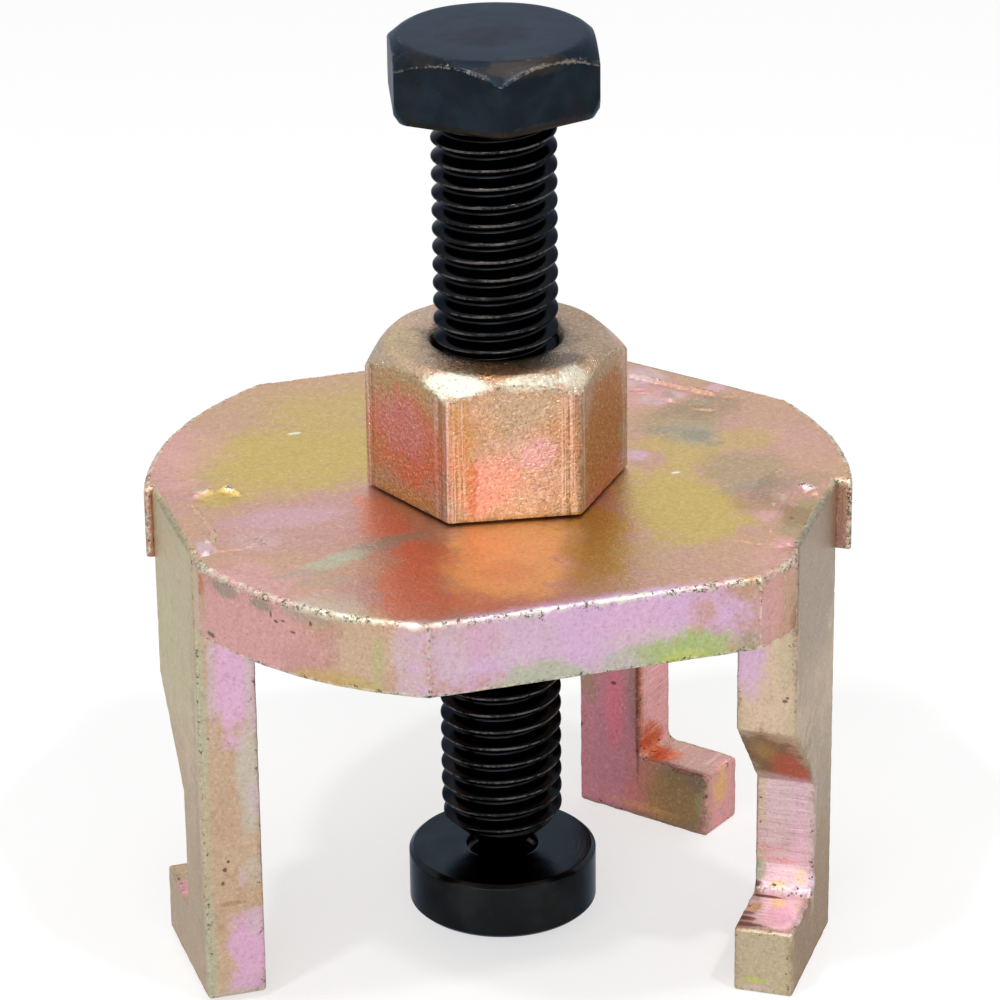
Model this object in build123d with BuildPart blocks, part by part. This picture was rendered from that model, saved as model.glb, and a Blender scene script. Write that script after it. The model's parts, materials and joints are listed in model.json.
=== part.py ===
from build123d import *
import math
import os

# Three-jaw gear puller: a notched steel plate carries three hooked jaws and a tall hexagonal
# hub nut, and a hexagon-headed forcing screw runs through the nut onto a swivelling pad.
# Origin: centre of the pad's working face, with the screw as it is stored.
# +Z runs up the screw to its head, and the plate's two long flats face -Y and +Y. Millimetres.

# Plate, cut from 50 x 6 flat bar and turned at its ends
plate_diameter = 56.4
plate_width = 49.8
plate_thickness = 6.1
plate_top_chamfer = 0.4
plate_bottom_chamfer = 0.2
plate_height = 31.8             # underside above the pad's working face

# Jaws, cut from 13 x 4.8 bar and let into notches in the rim
jaw_width = 13.0
jaw_thickness = 4.8
jaw_length = 40.1               # plate top to foot
hook_height = 5.75              # foot to catch face
throat_height = 10.2            # catch face to the foot of the lead-in slope
lead_in_height = 7.6
throat_depth = 6.85
throat_corner_radius = 0.9
jaw_corner_radius = 0.35
jaw_edge_chamfer = 0.2
jaw_top_chamfer = 0.7
notch_clearance = 0.1
# name: direction from the screw axis in degrees, which side of the rim is ground flush with
# the jaw (+1 the hook's side, -1 the back's side), how far the jaw's outer face stands inside
# the plate's turned edge, how far its hook was welded above the other jaws' hooks, and by how
# many degrees the ground edge beside it leans out
jaws = {
    "left_jaw": (180.0, -1, 1.4, 0.5, 0.0),
    "right_jaw": (-34.3, 1, 2.0, 0.0, 12.0),
    "rear_jaw": (38.0, 1, 2.2, 0.0, 0.0),
}

# Weld beads along the jaws' seams on the plate's top
seam_weld_height = 0.45
seam_weld_inner_toe = 1.8       # onto the plate, from the jaw's inner face
seam_weld_outer_toe = 2.1       # onto the jaw
seam_weld_side_toe = 1.2        # each way from the jaw's side
seam_weld_chamfer = 0.3

# Hub nut: hexagon above the plate, spigot through it, welded underneath
hub_width = 18.2
hub_height = 12.1
hub_top_circle = 17.0
hub_top_chamfer_height = 1.85   # at the hexagon's corners
hub_corner_radius = 0.35
hub_turn = -8.9                 # direction of one corner, degrees
spigot_diameter = 14.0
spigot_clearance = 0.05
hub_weld_leg = 1.2
hub_weld_crown = 0.3

# Forcing screw, M10 x 1.5
thread_diameter = 9.85          # over the crests
thread_pitch = 1.5
thread_depth = 0.88
thread_clearance = 0.04
thread_countersink = 0.5        # at each end of the nut's thread
shank_length = 64.0             # under the head to the small end of the point
plain_collar_length = 0.9
point_height = 3.1
head_width = 15.8               # 16 mm hexagon, at its usual size
head_height = 5.8
head_top_circle = 14.8
head_top_chamfer_height = 1.5   # at the hexagon's corners
head_bottom_chamfer = 0.5       # at the corners
head_bottom_chamfer_height = 1.9
head_bottom_bevel = 0.42        # all round
head_bottom_bevel_height = 0.65
head_corner_radius = 0.5
head_turn = 17.0
point_gap = 0.3                 # small end of the point above the pad
neck_radius = 1.8
button_radius = 2.8
button_height = 1.8
button_chamfer = 0.6

# Pressure pad and the snap ring that keeps it on the screw's button
pad_diameter = 15.4
pad_height = 4.9
pad_edge_chamfer = 0.35
socket_floor = 1.4
socket_clearance = 0.15
button_floor_gap = 0.1
ring_wire = 0.8
ring_radius = 2.9               # to the middle of the wire
ring_opening = 30.0             # degrees
ring_button_gap = 0.25
groove_side_gap = 0.2
groove_outer_gap = 0.05

# Sizes that follow
plate_top = plate_height + plate_thickness
foot = plate_top - jaw_length
catch_face = foot + hook_height
throat_top = catch_face + throat_height
shoulder = throat_top + lead_in_height
web_edge = jaw_width / 2 - throat_depth
notch_width = jaw_width + 2 * notch_clearance
plate_bore_radius = spigot_diameter / 2 + spigot_clearance
hub_bore_radius = thread_diameter / 2 + thread_clearance
hub_top = plate_top + hub_height
button_foot = socket_floor + button_floor_gap
button_top = button_foot + button_height
ring_height = button_top + ring_button_gap + ring_wire / 2
socket_radius = button_radius + socket_clearance
groove_radius = ring_radius + ring_wire / 2 + groove_outer_gap
groove_height = ring_wire + 2 * groove_side_gap
point_foot = pad_height + point_gap
thread_foot = point_foot + point_height
head_foot = point_foot + shank_length
head_top = head_foot + head_height
crest_radius = thread_diameter / 2
root_radius = crest_radius - thread_depth
thread_turns = int((head_foot - plain_collar_length - thread_foot) / thread_pitch)
hub_corner = hub_width / 2 / math.cos(math.radians(30))
head_corner = head_width / 2 / math.cos(math.radians(30))

os.makedirs("parts", exist_ok=True)


def radial(angle):
    """Unit vector from the screw axis towards a jaw."""
    return Vector(math.cos(math.radians(angle)), math.sin(math.radians(angle)), 0)


def hookward(angle):
    """Unit vector along the rim towards the jaw's hook, clockwise seen from above."""
    return Vector(math.sin(math.radians(angle)), -math.cos(math.radians(angle)), 0)


def jaw_face(angle, inset):
    """Plane on a jaw's outer face: x towards the hook, y up, normal towards the screw."""
    outer_radius = plate_diameter / 2 - inset
    return Plane(origin=radial(angle) * outer_radius, x_dir=hookward(angle), z_dir=-radial(angle))


def jaw_floor(angle, height):
    """Level plane: x outwards along the jaw's direction, y away from its hook."""
    return Plane(origin=(0, 0, height), x_dir=radial(angle), z_dir=(0, 0, 1))


# Plate: turned disc with two flats, notched for the jaws and ground flush beside them
with BuildPart() as plate:
    with BuildSketch(Plane.XZ):
        with BuildLine():
            Polyline(
                (0, plate_height),
                (plate_diameter / 2 - plate_bottom_chamfer, plate_height),
                (plate_diameter / 2, plate_height + plate_bottom_chamfer),
                (plate_diameter / 2, plate_top - plate_top_chamfer),
                (plate_diameter / 2 - plate_top_chamfer, plate_top),
                (0, plate_top),
                close=True,
            )
        make_face()
    revolve(axis=Axis.Z)
    with BuildSketch(Plane.YZ) as bar_section:
        with Locations((0, plate_height)):
            Rectangle(plate_width, plate_thickness, align=(Align.CENTER, Align.MIN))
        chamfer(bar_section.vertices().group_by(Axis.Y)[-1], plate_top_chamfer)
        chamfer(bar_section.vertices().group_by(Axis.Y)[0], plate_bottom_chamfer)
    extrude(amount=plate_diameter / 2, both=True, mode=Mode.INTERSECT)
    for angle, flush_side, inset, lift, lean in jaws.values():
        jaw_outer_radius = plate_diameter / 2 - inset
        jaw_inner_radius = jaw_outer_radius - jaw_thickness
        notch_depth = plate_diameter / 2 - jaw_inner_radius + notch_clearance
        with BuildSketch(jaw_floor(angle, plate_height)):
            with Locations((jaw_inner_radius - notch_clearance, 0)):
                Rectangle(notch_depth, notch_width, align=(Align.MIN, Align.CENTER))
            ground_start = (jaw_outer_radius, -flush_side * notch_width / 2, 0)
            with Locations(Location(ground_start, (0, 0, flush_side * lean))):
                flush_align = Align.MAX if flush_side > 0 else Align.MIN
                Rectangle(notch_depth, plate_diameter / 2, align=(Align.MIN, flush_align))
        extrude(amount=plate_thickness, mode=Mode.SUBTRACT)
    with Locations((0, 0, plate_top)):
        Hole(plate_bore_radius)
    bore_rim = plate.edges().filter_by(GeomType.CIRCLE).filter_by(lambda e: e.radius == plate_bore_radius)
    chamfer(bore_rim.sort_by(Axis.Z)[0], hub_weld_leg)
plate.part.label = "plate"
export_step(plate.part, "parts/plate.step")

# Jaws: flat bar with a hook milled into one edge, and a lead-in slope above the throat
for jaw_name, (angle, flush_side, inset, lift, lean) in jaws.items():
    with BuildPart() as jaw:
        with BuildSketch(jaw_face(angle, inset)) as jaw_profile:
            with BuildLine():
                Polyline(
                    (-jaw_width / 2, plate_top),
                    (jaw_width / 2, plate_top),
                    (jaw_width / 2, shoulder + lift),
                    (web_edge, throat_top + lift),
                    (web_edge, catch_face + lift),
                    (jaw_width / 2, catch_face + lift),
                    (jaw_width / 2, foot + lift),
                    (-jaw_width / 2, foot + lift),
                    close=True,
                )
            make_face()
            throat_corner = jaw_profile.vertices().sort_by_distance((web_edge, catch_face + lift))[0]
            fillet(throat_corner, throat_corner_radius)
            below_plate = jaw_profile.vertices().filter_by(lambda v: v.Y < plate_height)
            outside = below_plate.filter_by(lambda v: abs(abs(v.X) - jaw_width / 2) < 0.01)
            fillet(outside, jaw_corner_radius)
        extrude(amount=jaw_thickness)
        top_edges = jaw.faces().sort_by(Axis.Z)[-1].edges()
        chamfer(top_edges.sort_by(lambda e: e.center().dot(radial(angle)))[-1], jaw_top_chamfer)
        side_faces = jaw.faces().filter_by(Plane(origin=(0, 0, 0), z_dir=radial(angle)))
        inner_face = side_faces.sort_by(lambda f: f.center().dot(radial(angle)))[0]
        outer_face = side_faces.sort_by(lambda f: f.center().dot(radial(angle)))[-1]
        chamfer(inner_face.edges(), jaw_edge_chamfer)
        below_top = outer_face.edges().filter_by(lambda e: e.center().Z < plate_top - 1.5 * jaw_top_chamfer)
        chamfer(below_top, jaw_edge_chamfer)
    jaw.part.label = jaw_name
    export_step(jaw.part, f"parts/{jaw_name}.step")

# Seam welds: a ground bead round the three sides of each jaw's top
for jaw_name, (angle, flush_side, inset, lift, lean) in jaws.items():
    jaw_outer_radius = plate_diameter / 2 - inset
    jaw_inner_radius = jaw_outer_radius - jaw_thickness
    bead_start = jaw_inner_radius - seam_weld_inner_toe
    bead_end = jaw_outer_radius - jaw_top_chamfer
    bare_start = jaw_inner_radius + seam_weld_outer_toe
    with BuildPart() as seam_weld:
        with BuildSketch(jaw_floor(angle, plate_top)):
            with Locations((bead_start, 0)):
                bead_width = jaw_width + 2 * seam_weld_side_toe
                Rectangle(bead_end - bead_start, bead_width, align=(Align.MIN, Align.CENTER))
            with Locations((bare_start, 0)):
                bare_width = jaw_width - 2 * seam_weld_side_toe
                bare_length = bead_end - bare_start
                Rectangle(bare_length, bare_width, align=(Align.MIN, Align.CENTER), mode=Mode.SUBTRACT)
        extrude(amount=seam_weld_height)
        chamfer(seam_weld.faces().sort_by(Axis.Z)[-1].edges(), seam_weld_chamfer)
    seam_weld.part.label = f"{jaw_name}_weld"
    export_step(seam_weld.part, f"parts/{jaw_name}_weld.step")

# Hub nut: hexagon bar with a turned top chamfer, a spigot below and a thread right through
with BuildPart() as hub_nut:
    with BuildSketch(Plane.XY.offset(plate_top)):
        RegularPolygon(hub_width / 2, 6, major_radius=False, rotation=hub_turn)
    extrude(amount=hub_height)
    fillet(hub_nut.edges().filter_by(Axis.Z), hub_corner_radius)
    with BuildSketch(Plane.XZ):
        with BuildLine():
            Polyline(
                (0, plate_top),
                (hub_corner, plate_top),
                (hub_corner, hub_top - hub_top_chamfer_height),
                (hub_top_circle / 2, hub_top),
                (0, hub_top),
                close=True,
            )
        make_face()
    revolve(axis=Axis.Z, mode=Mode.INTERSECT)
    with BuildSketch(Plane.XY.offset(plate_top)):
        Circle(spigot_diameter / 2)
    extrude(amount=-plate_thickness)
    with Locations((0, 0, hub_top)):
        Hole(hub_bore_radius)
    thread_mouths = hub_nut.edges().filter_by(GeomType.CIRCLE).filter_by(lambda e: e.radius == hub_bore_radius)
    chamfer(thread_mouths, thread_countersink)
hub_nut.part.label = "hub_nut"
export_step(hub_nut.part, "parts/hub_nut.step")

# Hub weld: ring that fills the groove between the spigot and the plate's underside
with BuildPart() as hub_weld:
    with BuildSketch(Plane.XZ):
        with BuildLine():
            Polyline(
                (spigot_diameter / 2, plate_height - hub_weld_crown),
                (plate_bore_radius + hub_weld_leg / 2, plate_height - hub_weld_crown),
                (plate_bore_radius + hub_weld_leg, plate_height),
                (plate_bore_radius, plate_height + hub_weld_leg),
                (spigot_diameter / 2, plate_height + hub_weld_leg),
                close=True,
            )
        make_face()
    revolve(axis=Axis.Z)
hub_weld.part.label = "hub_weld"
export_step(hub_weld.part, "parts/hub_weld.step")

# Forcing screw's head: hexagon with a turned cone on top, bevelled underneath, where its
# corners are drawn in as well
with BuildPart() as screw_head:
    with BuildSketch(Plane.XY.offset(head_foot)):
        RegularPolygon(head_width / 2, 6, major_radius=False, rotation=head_turn)
    extrude(amount=head_height)
    fillet(screw_head.edges().filter_by(Axis.Z), head_corner_radius)
    underside = screw_head.faces().sort_by(Axis.Z)[0]
    chamfer(underside.edges(), head_bottom_bevel, head_bottom_bevel_height, reference=underside)
    with BuildSketch(Plane.XZ):
        with BuildLine():
            Polyline(
                (0, head_foot),
                (head_corner - head_bottom_chamfer, head_foot),
                (head_corner, head_foot + head_bottom_chamfer_height),
                (head_corner, head_top - head_top_chamfer_height),
                (head_top_circle / 2, head_top),
                (0, head_top),
                close=True,
            )
        make_face()
    revolve(axis=Axis.Z, mode=Mode.INTERSECT)

# Forcing screw: thread shown as rings of its true pitch and depth, a turned point, and a
# button on a neck that the pad swivels on
with BuildPart() as forcing_screw:
    with BuildSketch(Plane.XZ):
        with BuildLine():
            outline = [
                (0, button_foot),
                (button_radius - button_chamfer, button_foot),
                (button_radius, button_foot + button_chamfer),
                (button_radius, button_top),
                (neck_radius, button_top),
                (neck_radius, point_foot),
                (crest_radius, thread_foot),
            ]
            for turn in range(thread_turns):
                ring_foot = thread_foot + turn * thread_pitch
                outline.append((crest_radius, ring_foot + thread_pitch * 1 / 16))
                outline.append((root_radius, ring_foot + thread_pitch * 6 / 16))
                outline.append((root_radius, ring_foot + thread_pitch * 10 / 16))
                outline.append((crest_radius, ring_foot + thread_pitch * 15 / 16))
            outline.append((crest_radius, head_foot))
            outline.append((0, head_foot))
            Polyline(*outline, close=True)
        make_face()
    revolve(axis=Axis.Z)
    add(screw_head.part)
forcing_screw.part.label = "forcing_screw"
export_step(forcing_screw.part, "parts/forcing_screw.step")

# Pressure pad: turned disc with a socket for the screw's button and a groove for the snap ring
with BuildPart() as pressure_pad:
    with BuildSketch(Plane.XY):
        Circle(pad_diameter / 2)
    extrude(amount=pad_height)
    chamfer(pressure_pad.edges(), pad_edge_chamfer)
    with BuildSketch(Plane.XY.offset(socket_floor)):
        Circle(socket_radius)
    extrude(amount=pad_height - socket_floor, mode=Mode.SUBTRACT)
    with BuildSketch(Plane.XY.offset(ring_height - groove_height / 2)):
        Circle(groove_radius)
    extrude(amount=groove_height, mode=Mode.SUBTRACT)
pressure_pad.part.label = "pressure_pad"
export_step(pressure_pad.part, "parts/pressure_pad.step")

# Snap ring: open ring of round spring wire, sprung into the pad's groove above the button
with BuildPart() as pad_snap_ring:
    with BuildSketch(Plane.XZ):
        with Locations((ring_radius, ring_height)):
            Circle(ring_wire / 2)
    revolve(axis=Axis.Z, revolution_arc=360 - ring_opening)
pad_snap_ring.part.label = "pad_snap_ring"
export_step(pad_snap_ring.part, "parts/pad_snap_ring.step")

print("plate top", round(plate_top, 3), "hub top", round(hub_top, 3), "foot", round(foot, 3))
print("catch face", round(catch_face, 3), "head", round(head_foot, 3), round(head_top, 3))
print("travel up", round(plate_height - hub_weld_crown - pad_height, 3), "down", round(head_foot - hub_top, 3))
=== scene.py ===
import json
import math

import bmesh
import bpy
import numpy as np
from mathutils import Matrix, Vector, noise
from mathutils.geometry import delaunay_2d_cdt


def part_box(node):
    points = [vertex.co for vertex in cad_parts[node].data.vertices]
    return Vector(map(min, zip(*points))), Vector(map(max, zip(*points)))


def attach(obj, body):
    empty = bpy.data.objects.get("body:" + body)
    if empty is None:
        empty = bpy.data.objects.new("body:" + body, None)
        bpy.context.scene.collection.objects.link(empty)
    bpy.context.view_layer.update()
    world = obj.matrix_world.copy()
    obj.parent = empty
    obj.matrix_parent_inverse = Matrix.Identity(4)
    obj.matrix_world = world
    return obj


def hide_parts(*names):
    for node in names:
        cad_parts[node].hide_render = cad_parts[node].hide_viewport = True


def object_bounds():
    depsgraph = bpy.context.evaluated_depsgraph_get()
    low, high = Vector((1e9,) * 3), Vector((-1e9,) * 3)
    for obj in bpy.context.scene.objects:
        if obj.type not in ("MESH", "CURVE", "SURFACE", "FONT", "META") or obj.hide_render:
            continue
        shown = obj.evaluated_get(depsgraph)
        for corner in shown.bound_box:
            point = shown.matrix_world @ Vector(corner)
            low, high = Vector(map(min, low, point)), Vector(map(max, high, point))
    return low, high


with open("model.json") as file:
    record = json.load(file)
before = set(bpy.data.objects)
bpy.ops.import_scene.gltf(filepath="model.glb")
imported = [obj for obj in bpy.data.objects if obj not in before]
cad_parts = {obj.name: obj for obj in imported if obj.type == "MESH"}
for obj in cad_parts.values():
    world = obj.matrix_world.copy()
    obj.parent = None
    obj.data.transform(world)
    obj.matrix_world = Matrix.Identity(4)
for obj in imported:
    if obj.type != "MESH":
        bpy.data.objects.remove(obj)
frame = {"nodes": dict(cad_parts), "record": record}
cad_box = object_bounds()
MM = 0.001


# Camera: a long lens a little above the tool, turned towards the side of the left jaw.
# It is set out from the plate's top, in degrees and metres.
plate_low, plate_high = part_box("plate")
camera_turn = -17.033
camera_distance = 0.34362
camera_height = plate_high.z + 0.15042
camera_yaw = -0.044
camera_pitch = 24.005
camera_roll = -0.700
camera_lens = 169.41
camera_shift = (-0.00157, 0.00535)

camera_data = bpy.data.cameras.new("camera")
camera_data.lens = camera_lens
camera_data.sensor_width = 36
camera_data.shift_x, camera_data.shift_y = camera_shift
camera_data.clip_start = 0.01
camera = bpy.data.objects.new("camera", camera_data)
bpy.context.scene.collection.objects.link(camera)
turn = math.radians(camera_turn)
heading = math.radians(camera_turn + camera_yaw)
pitch = math.radians(camera_pitch)
roll = math.radians(camera_roll)
look = Vector((-math.sin(heading) * math.cos(pitch), math.cos(heading) * math.cos(pitch), -math.sin(pitch)))
level = Vector((math.cos(heading), math.sin(heading), 0))
across = level * math.cos(roll) + level.cross(look) * math.sin(roll)
upright = across.cross(look)
camera.matrix_world = Matrix.Translation(
    (camera_distance * math.sin(turn), -camera_distance * math.cos(turn), camera_height)
) @ Matrix((across, upright, -look)).transposed().to_4x4()
bpy.context.scene.camera = camera


class Wire:
    """A value or a colour on its way through one material's nodes. Arithmetic on it adds Math nodes."""

    def __init__(self, tree, socket=None):
        self.tree = tree
        self.socket = socket

    def node(self, kind, settings=None, inputs=None, output=0):
        """Adds one node: its type, its settings, then the values or wires of its sockets."""
        made = self.tree.nodes.new("ShaderNode" + kind)
        for name, value in (settings or {}).items():
            if name == "stops":
                ramp = made.color_ramp
                while len(ramp.elements) < len(value):
                    ramp.elements.new(1.0)
                for element, (place, colour) in zip(ramp.elements, value):
                    element.position = place
                    element.color = (*colour, 1)
            else:
                setattr(made, name, value)
        for name, value in (inputs or {}).items():
            if isinstance(value, Wire):
                self.tree.links.new(value.socket, made.inputs[name])
            else:
                made.inputs[name].default_value = value
        return Wire(self.tree, made.outputs[output]) if made.outputs else None

    def math(self, operation, *values):
        return self.node("Math", {"operation": operation}, dict(enumerate(values)))

    def __add__(self, other):
        return self.math("ADD", self, other)

    def __radd__(self, other):
        return self.math("ADD", other, self)

    def __sub__(self, other):
        return self.math("SUBTRACT", self, other)

    def __rsub__(self, other):
        return self.math("SUBTRACT", other, self)

    def __mul__(self, other):
        return self.math("MULTIPLY", self, other)

    def __rmul__(self, other):
        return self.math("MULTIPLY", other, self)

    def step(self, start, end):
        """0 below start, 1 above end, smooth between; start may lie above end."""
        inputs = {"Value": self, "From Min": start, "From Max": end}
        return self.node("MapRange", {"interpolation_type": "SMOOTHSTEP"}, inputs)

    def vector(self, operation, *values, output=0):
        return self.node("VectorMath", {"operation": operation}, dict(enumerate(values)), output)

    def length(self):
        return self.vector("LENGTH", self, output="Value")

    def axis(self, name):
        return self.node("SeparateXYZ", inputs={0: self}, output=name)

    def from_axis(self):
        """How far a place is from the screw's axis."""
        return self.vector("MULTIPLY", self, (1, 1, 0)).length()

    def place(self):
        """The piece's own place, in mm."""
        place = self.node("TexCoord", output="Object")
        return place.vector("MULTIPLY", place, (1 / MM, 1 / MM, 1 / MM))

    def edge(self):
        """The stored mark of an edge, 1 on it."""
        return self.node("Attribute", {"attribute_name": "edge"}, output="Fac")

    def noise(self, scale, detail=2.0, roughness=0.5, stretch=None):
        """Noise at this wire's place, scale in features per millimetre, 0 to 1 about 0.5."""
        place = self.vector("MULTIPLY", self, stretch) if stretch else self
        inputs = {"Vector": place, "Scale": scale, "Detail": detail, "Roughness": roughness}
        return self.node("TexNoise", None, inputs)

    def blend(self, other, factor):
        """This colour turned into the other by the factor."""
        return factor.between(self, other)

    def between(self, low, high):
        """A colour between two, low at 0 and high at 1."""
        return self.node("Mix", {"data_type": "RGBA"}, {0: self, 6: low, 7: high}, 2)

    def patch(self, centre, size, ragged):
        """1 in a ragged patch of this size round a centre, 0 outside it."""
        away = self.vector("DIVIDE", self.vector("SUBTRACT", self, centre), size).length()
        return (1.1 - away + ragged).step(0.05, 0.6)


# Studio: a pale floor that the tool stands on, white all round, and a dimmer room behind the
# camera. Two small lamps hang high in front, left and right, a low panel stands in front and a
# wide one hangs overhead.
floor_colour = (0.80, 0.80, 0.80, 1)
floor_glow = 0.45               # share of the floor that shows plain white to the eye
floor_gleam = 0.20              # and in reflections
floor_white = 1.4
floor_radius = 3.0
room_light = 0.30
room_front = 0.6
lamps = {
    # name: (turn from the camera in degrees, elevation, distance, width, height, power)
    "left_softbox": (-42, 60, 0.7, 0.055, 0.055, 1.25),
    "right_softbox": (42, 60, 0.7, 0.055, 0.055, 1.25),
    "front_panel": (-9, 26, 0.9, 1.0, 0.40, 3.3),
    "top_softbox": (180, 80, 0.9, 0.8, 0.8, 1.5),
}


def new_material(name):
    """A bare material, and a wire to start its nodes from."""
    material = bpy.data.materials.new(name)
    material.use_nodes = True
    material.node_tree.nodes.clear()
    return material, Wire(material.node_tree)


scene = bpy.context.scene
scene.view_settings.view_transform = "Standard"
scene.world = bpy.data.worlds.new("studio")
scene.world.use_nodes = True
scene.world.node_tree.nodes.clear()
start = Wire(scene.world.node_tree)
direction = start.node("TexCoord", output="Generated")
to_camera = (math.sin(turn), -math.cos(turn), -0.2)
camera_side = direction.vector("DOT_PRODUCT", direction, to_camera, output="Value")
room, white, front = [start.node("Background", inputs={"Color": (1, 1, 1, 1), "Strength": strength})
                      for strength in (room_light, 1.0, room_front)]
seen = start.node("LightPath", output="Is Camera Ray") + start.node("LightPath", output="Is Transmission Ray")
mirrored = start.node("LightPath", output="Is Glossy Ray")
mirror_room = start.node("MixShader", inputs={0: camera_side.step(0.1, 0.9), 1: white, 2: front})
surround = start.node("MixShader", inputs={0: seen, 1: room, 2: white})
surround = start.node("MixShader", inputs={0: mirrored, 1: surround, 2: mirror_room})
start.node("OutputWorld", inputs={"Surface": surround})

bpy.ops.mesh.primitive_circle_add(vertices=128, radius=floor_radius, fill_type="NGON",
                                  location=(0, 0, cad_box[0].z))
floor = bpy.context.object
floor.name = "floor"
material, start = new_material("studio_floor")
seen = start.node("LightPath", output="Is Camera Ray")
mirrored = start.node("LightPath", output="Is Glossy Ray")
matt = start.node("BsdfDiffuse", inputs={"Color": floor_colour})
glow = start.node("Emission", inputs={"Color": (1, 1, 1, 1), "Strength": floor_white})
lit = start.node("MixShader", inputs={0: seen * floor_glow + mirrored * floor_gleam, 1: matt, 2: glow})
start.node("OutputMaterial", inputs={"Surface": lit})
floor.data.materials.append(material)

for name, (lamp_turn, elevation, distance, width, height, power) in lamps.items():
    lamp_data = bpy.data.lights.new(name, "AREA")
    lamp_data.shape = "ELLIPSE"
    lamp_data.size, lamp_data.size_y = width, height
    lamp_data.energy = power
    lamp = bpy.data.objects.new(name, lamp_data)
    scene.collection.objects.link(lamp)
    bearing = turn + math.radians(lamp_turn)
    rise = math.radians(elevation)
    way = Vector((math.sin(bearing) * math.cos(rise), -math.cos(bearing) * math.cos(rise), math.sin(rise)))
    lamp.location = Vector((0, 0, plate_high.z)) + way * distance
    lamp.rotation_euler = way.to_track_quat("Z", "Y").to_euler()


# Plate: 6 mm flat bar turned round at its ends and notched for the jaws. It is blasted and
# yellow zinc plated, and its top edge is worn bright and nicked.
plate_edge = 0.42
plate_under_edge = 0.22
plate_corner = 0.3
plate_point_spacing = 0.22
plate_bore = 7.05
plate_countersink = 1.2
edge_band = 0.9                 # how far the mark of an edge reaches onto its faces, mm
edge_step = 22.5                # degrees between the rows of a rounded edge, 4 rows to an edge
side_shares = (0, 0.06, 0.15, 0.3, 0.5, 0.7, 0.85, 0.94, 1)
corner_turn = 8                 # degrees that make a point of the outline a corner
face_inset = 0.3                # first ring of points inside a flat face's edge
inset_spacing = 0.22
face_spacing = 1.3              # between the points further in
face_margin = 0.4
turned_slack = 0.03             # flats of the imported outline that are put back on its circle
bore_columns = 96


def section_loops(node, origin, normal, to_flat):
    """Closed loops where a plane cuts a CAD node, the longest first, as flat points in mm."""
    cut = bmesh.new()
    cut.from_mesh(frame["nodes"][node].data)
    bmesh.ops.remove_doubles(cut, verts=cut.verts, dist=1e-6)
    everything = cut.verts[:] + cut.edges[:] + cut.faces[:]
    found = bmesh.ops.bisect_plane(cut, geom=everything, dist=1e-7, plane_co=origin, plane_no=normal)
    edges = [e for e in found["geom_cut"] if isinstance(e, bmesh.types.BMEdge)]
    loops = []
    while edges:
        first = edges.pop()
        begin, at = first.verts
        loop = [to_flat(begin.co)]
        while at is not begin:
            loop.append(to_flat(at.co))
            edge = next(e for e in at.link_edges if e in edges)
            edges.remove(edge)
            at = edge.other_vert(at)
        area = sum(a.cross(b) for a, b in zip(loop, loop[1:] + loop[:1]))
        loop = loop if area > 0 else loop[::-1]
        lead = min(range(len(loop)), key=lambda i: (round(loop[i].x, 3), round(loop[i].y, 3)))
        loops.append(loop[lead:] + loop[:lead])
    cut.free()
    return sorted(loops, key=len, reverse=True)


def turning(before, here, after):
    """Angle by which a path turns at a point, in degrees, left positive."""
    a, b = here - before, after - here
    return math.degrees(math.atan2(a.cross(b), a.dot(b)))


def rounded(points, radius, least_turn, closed=True, steps=4):
    """The path with an arc-like curve at each corner that turns by more than least_turn degrees."""
    count = len(points)
    path = []
    for i, here in enumerate(points):
        before, after = points[i - 1], points[(i + 1) % count]
        end = not closed and i in (0, count - 1)
        if end or abs(turning(before, here, after)) < least_turn:
            path.append(here)
            continue
        back, forth = before - here, after - here
        reach = radius * math.tan(math.radians(abs(turning(before, here, after)) / 2))
        reach = min(reach, back.length * 0.45, forth.length * 0.45)
        enter, leave = here + back.normalized() * reach, here + forth.normalized() * reach
        for k in range(steps + 1):
            f = k / steps
            path.append(enter * (1 - f) ** 2 + here * 2 * f * (1 - f) + leave * f ** 2)
    return path


def even_outline(points, spacing, radius, least_turn):
    """A closed outline without spare points, its corners rounded and its runs divided evenly."""
    around = zip(points[-1:] + points[:-1], points, points[1:] + points[:1])
    points = [here for before, here, after in around if abs(turning(before, here, after)) > 0.3]
    points = rounded(points, radius, least_turn)
    path = []
    for here, after in zip(points, points[1:] + points[:1]):
        parts = max(1, math.ceil((after - here).length / spacing))
        path += [here.lerp(after, k / parts) for k in range(parts)]
    return path


def faces_between(a, b, count, inside=False):
    """Faces between two closed rings of points that start at a and b; inside turns them round."""
    pairs = [(i, (i + 1) % count) for i in range(count)]
    if inside:
        return [(a + j, a + i, b + i, b + j) for i, j in pairs]
    return [(a + i, a + j, b + j, b + i) for i, j in pairs]


def finish_mesh(name, vertices, faces, marks, flats=None):
    """A smooth-shaded object from points in metres, with its marks stored for the finish to read.
    flats are the places in mm that its finish goes by."""
    mesh = bpy.data.meshes.new(name)
    mesh.from_pydata([tuple(v) for v in vertices], [], faces)
    mesh.attributes.new("edge", "FLOAT", "POINT").data.foreach_set("value", marks)
    if flats:
        flat = mesh.attributes.new("flat", "FLOAT_VECTOR", "POINT")
        flat.data.foreach_set("vector", [c for v in flats for c in v])
    mesh.polygons.foreach_set("use_smooth", [True] * len(mesh.polygons))
    mesh.validate()
    tidy = bmesh.new()
    tidy.from_mesh(mesh)
    bmesh.ops.remove_doubles(tidy, verts=tidy.verts, dist=2e-6)
    bmesh.ops.dissolve_degenerate(tidy, edges=tidy.edges, dist=1e-6)
    bmesh.ops.recalc_face_normals(tidy, faces=tidy.faces)
    tidy.to_mesh(mesh)
    tidy.free()
    piece = bpy.data.objects.new(name, mesh)
    scene.collection.objects.link(piece)
    keep_flats = piece.modifiers.new("keep_flats", "WEIGHTED_NORMAL")
    keep_flats.mode = "FACE_AREA"
    return piece


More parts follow.
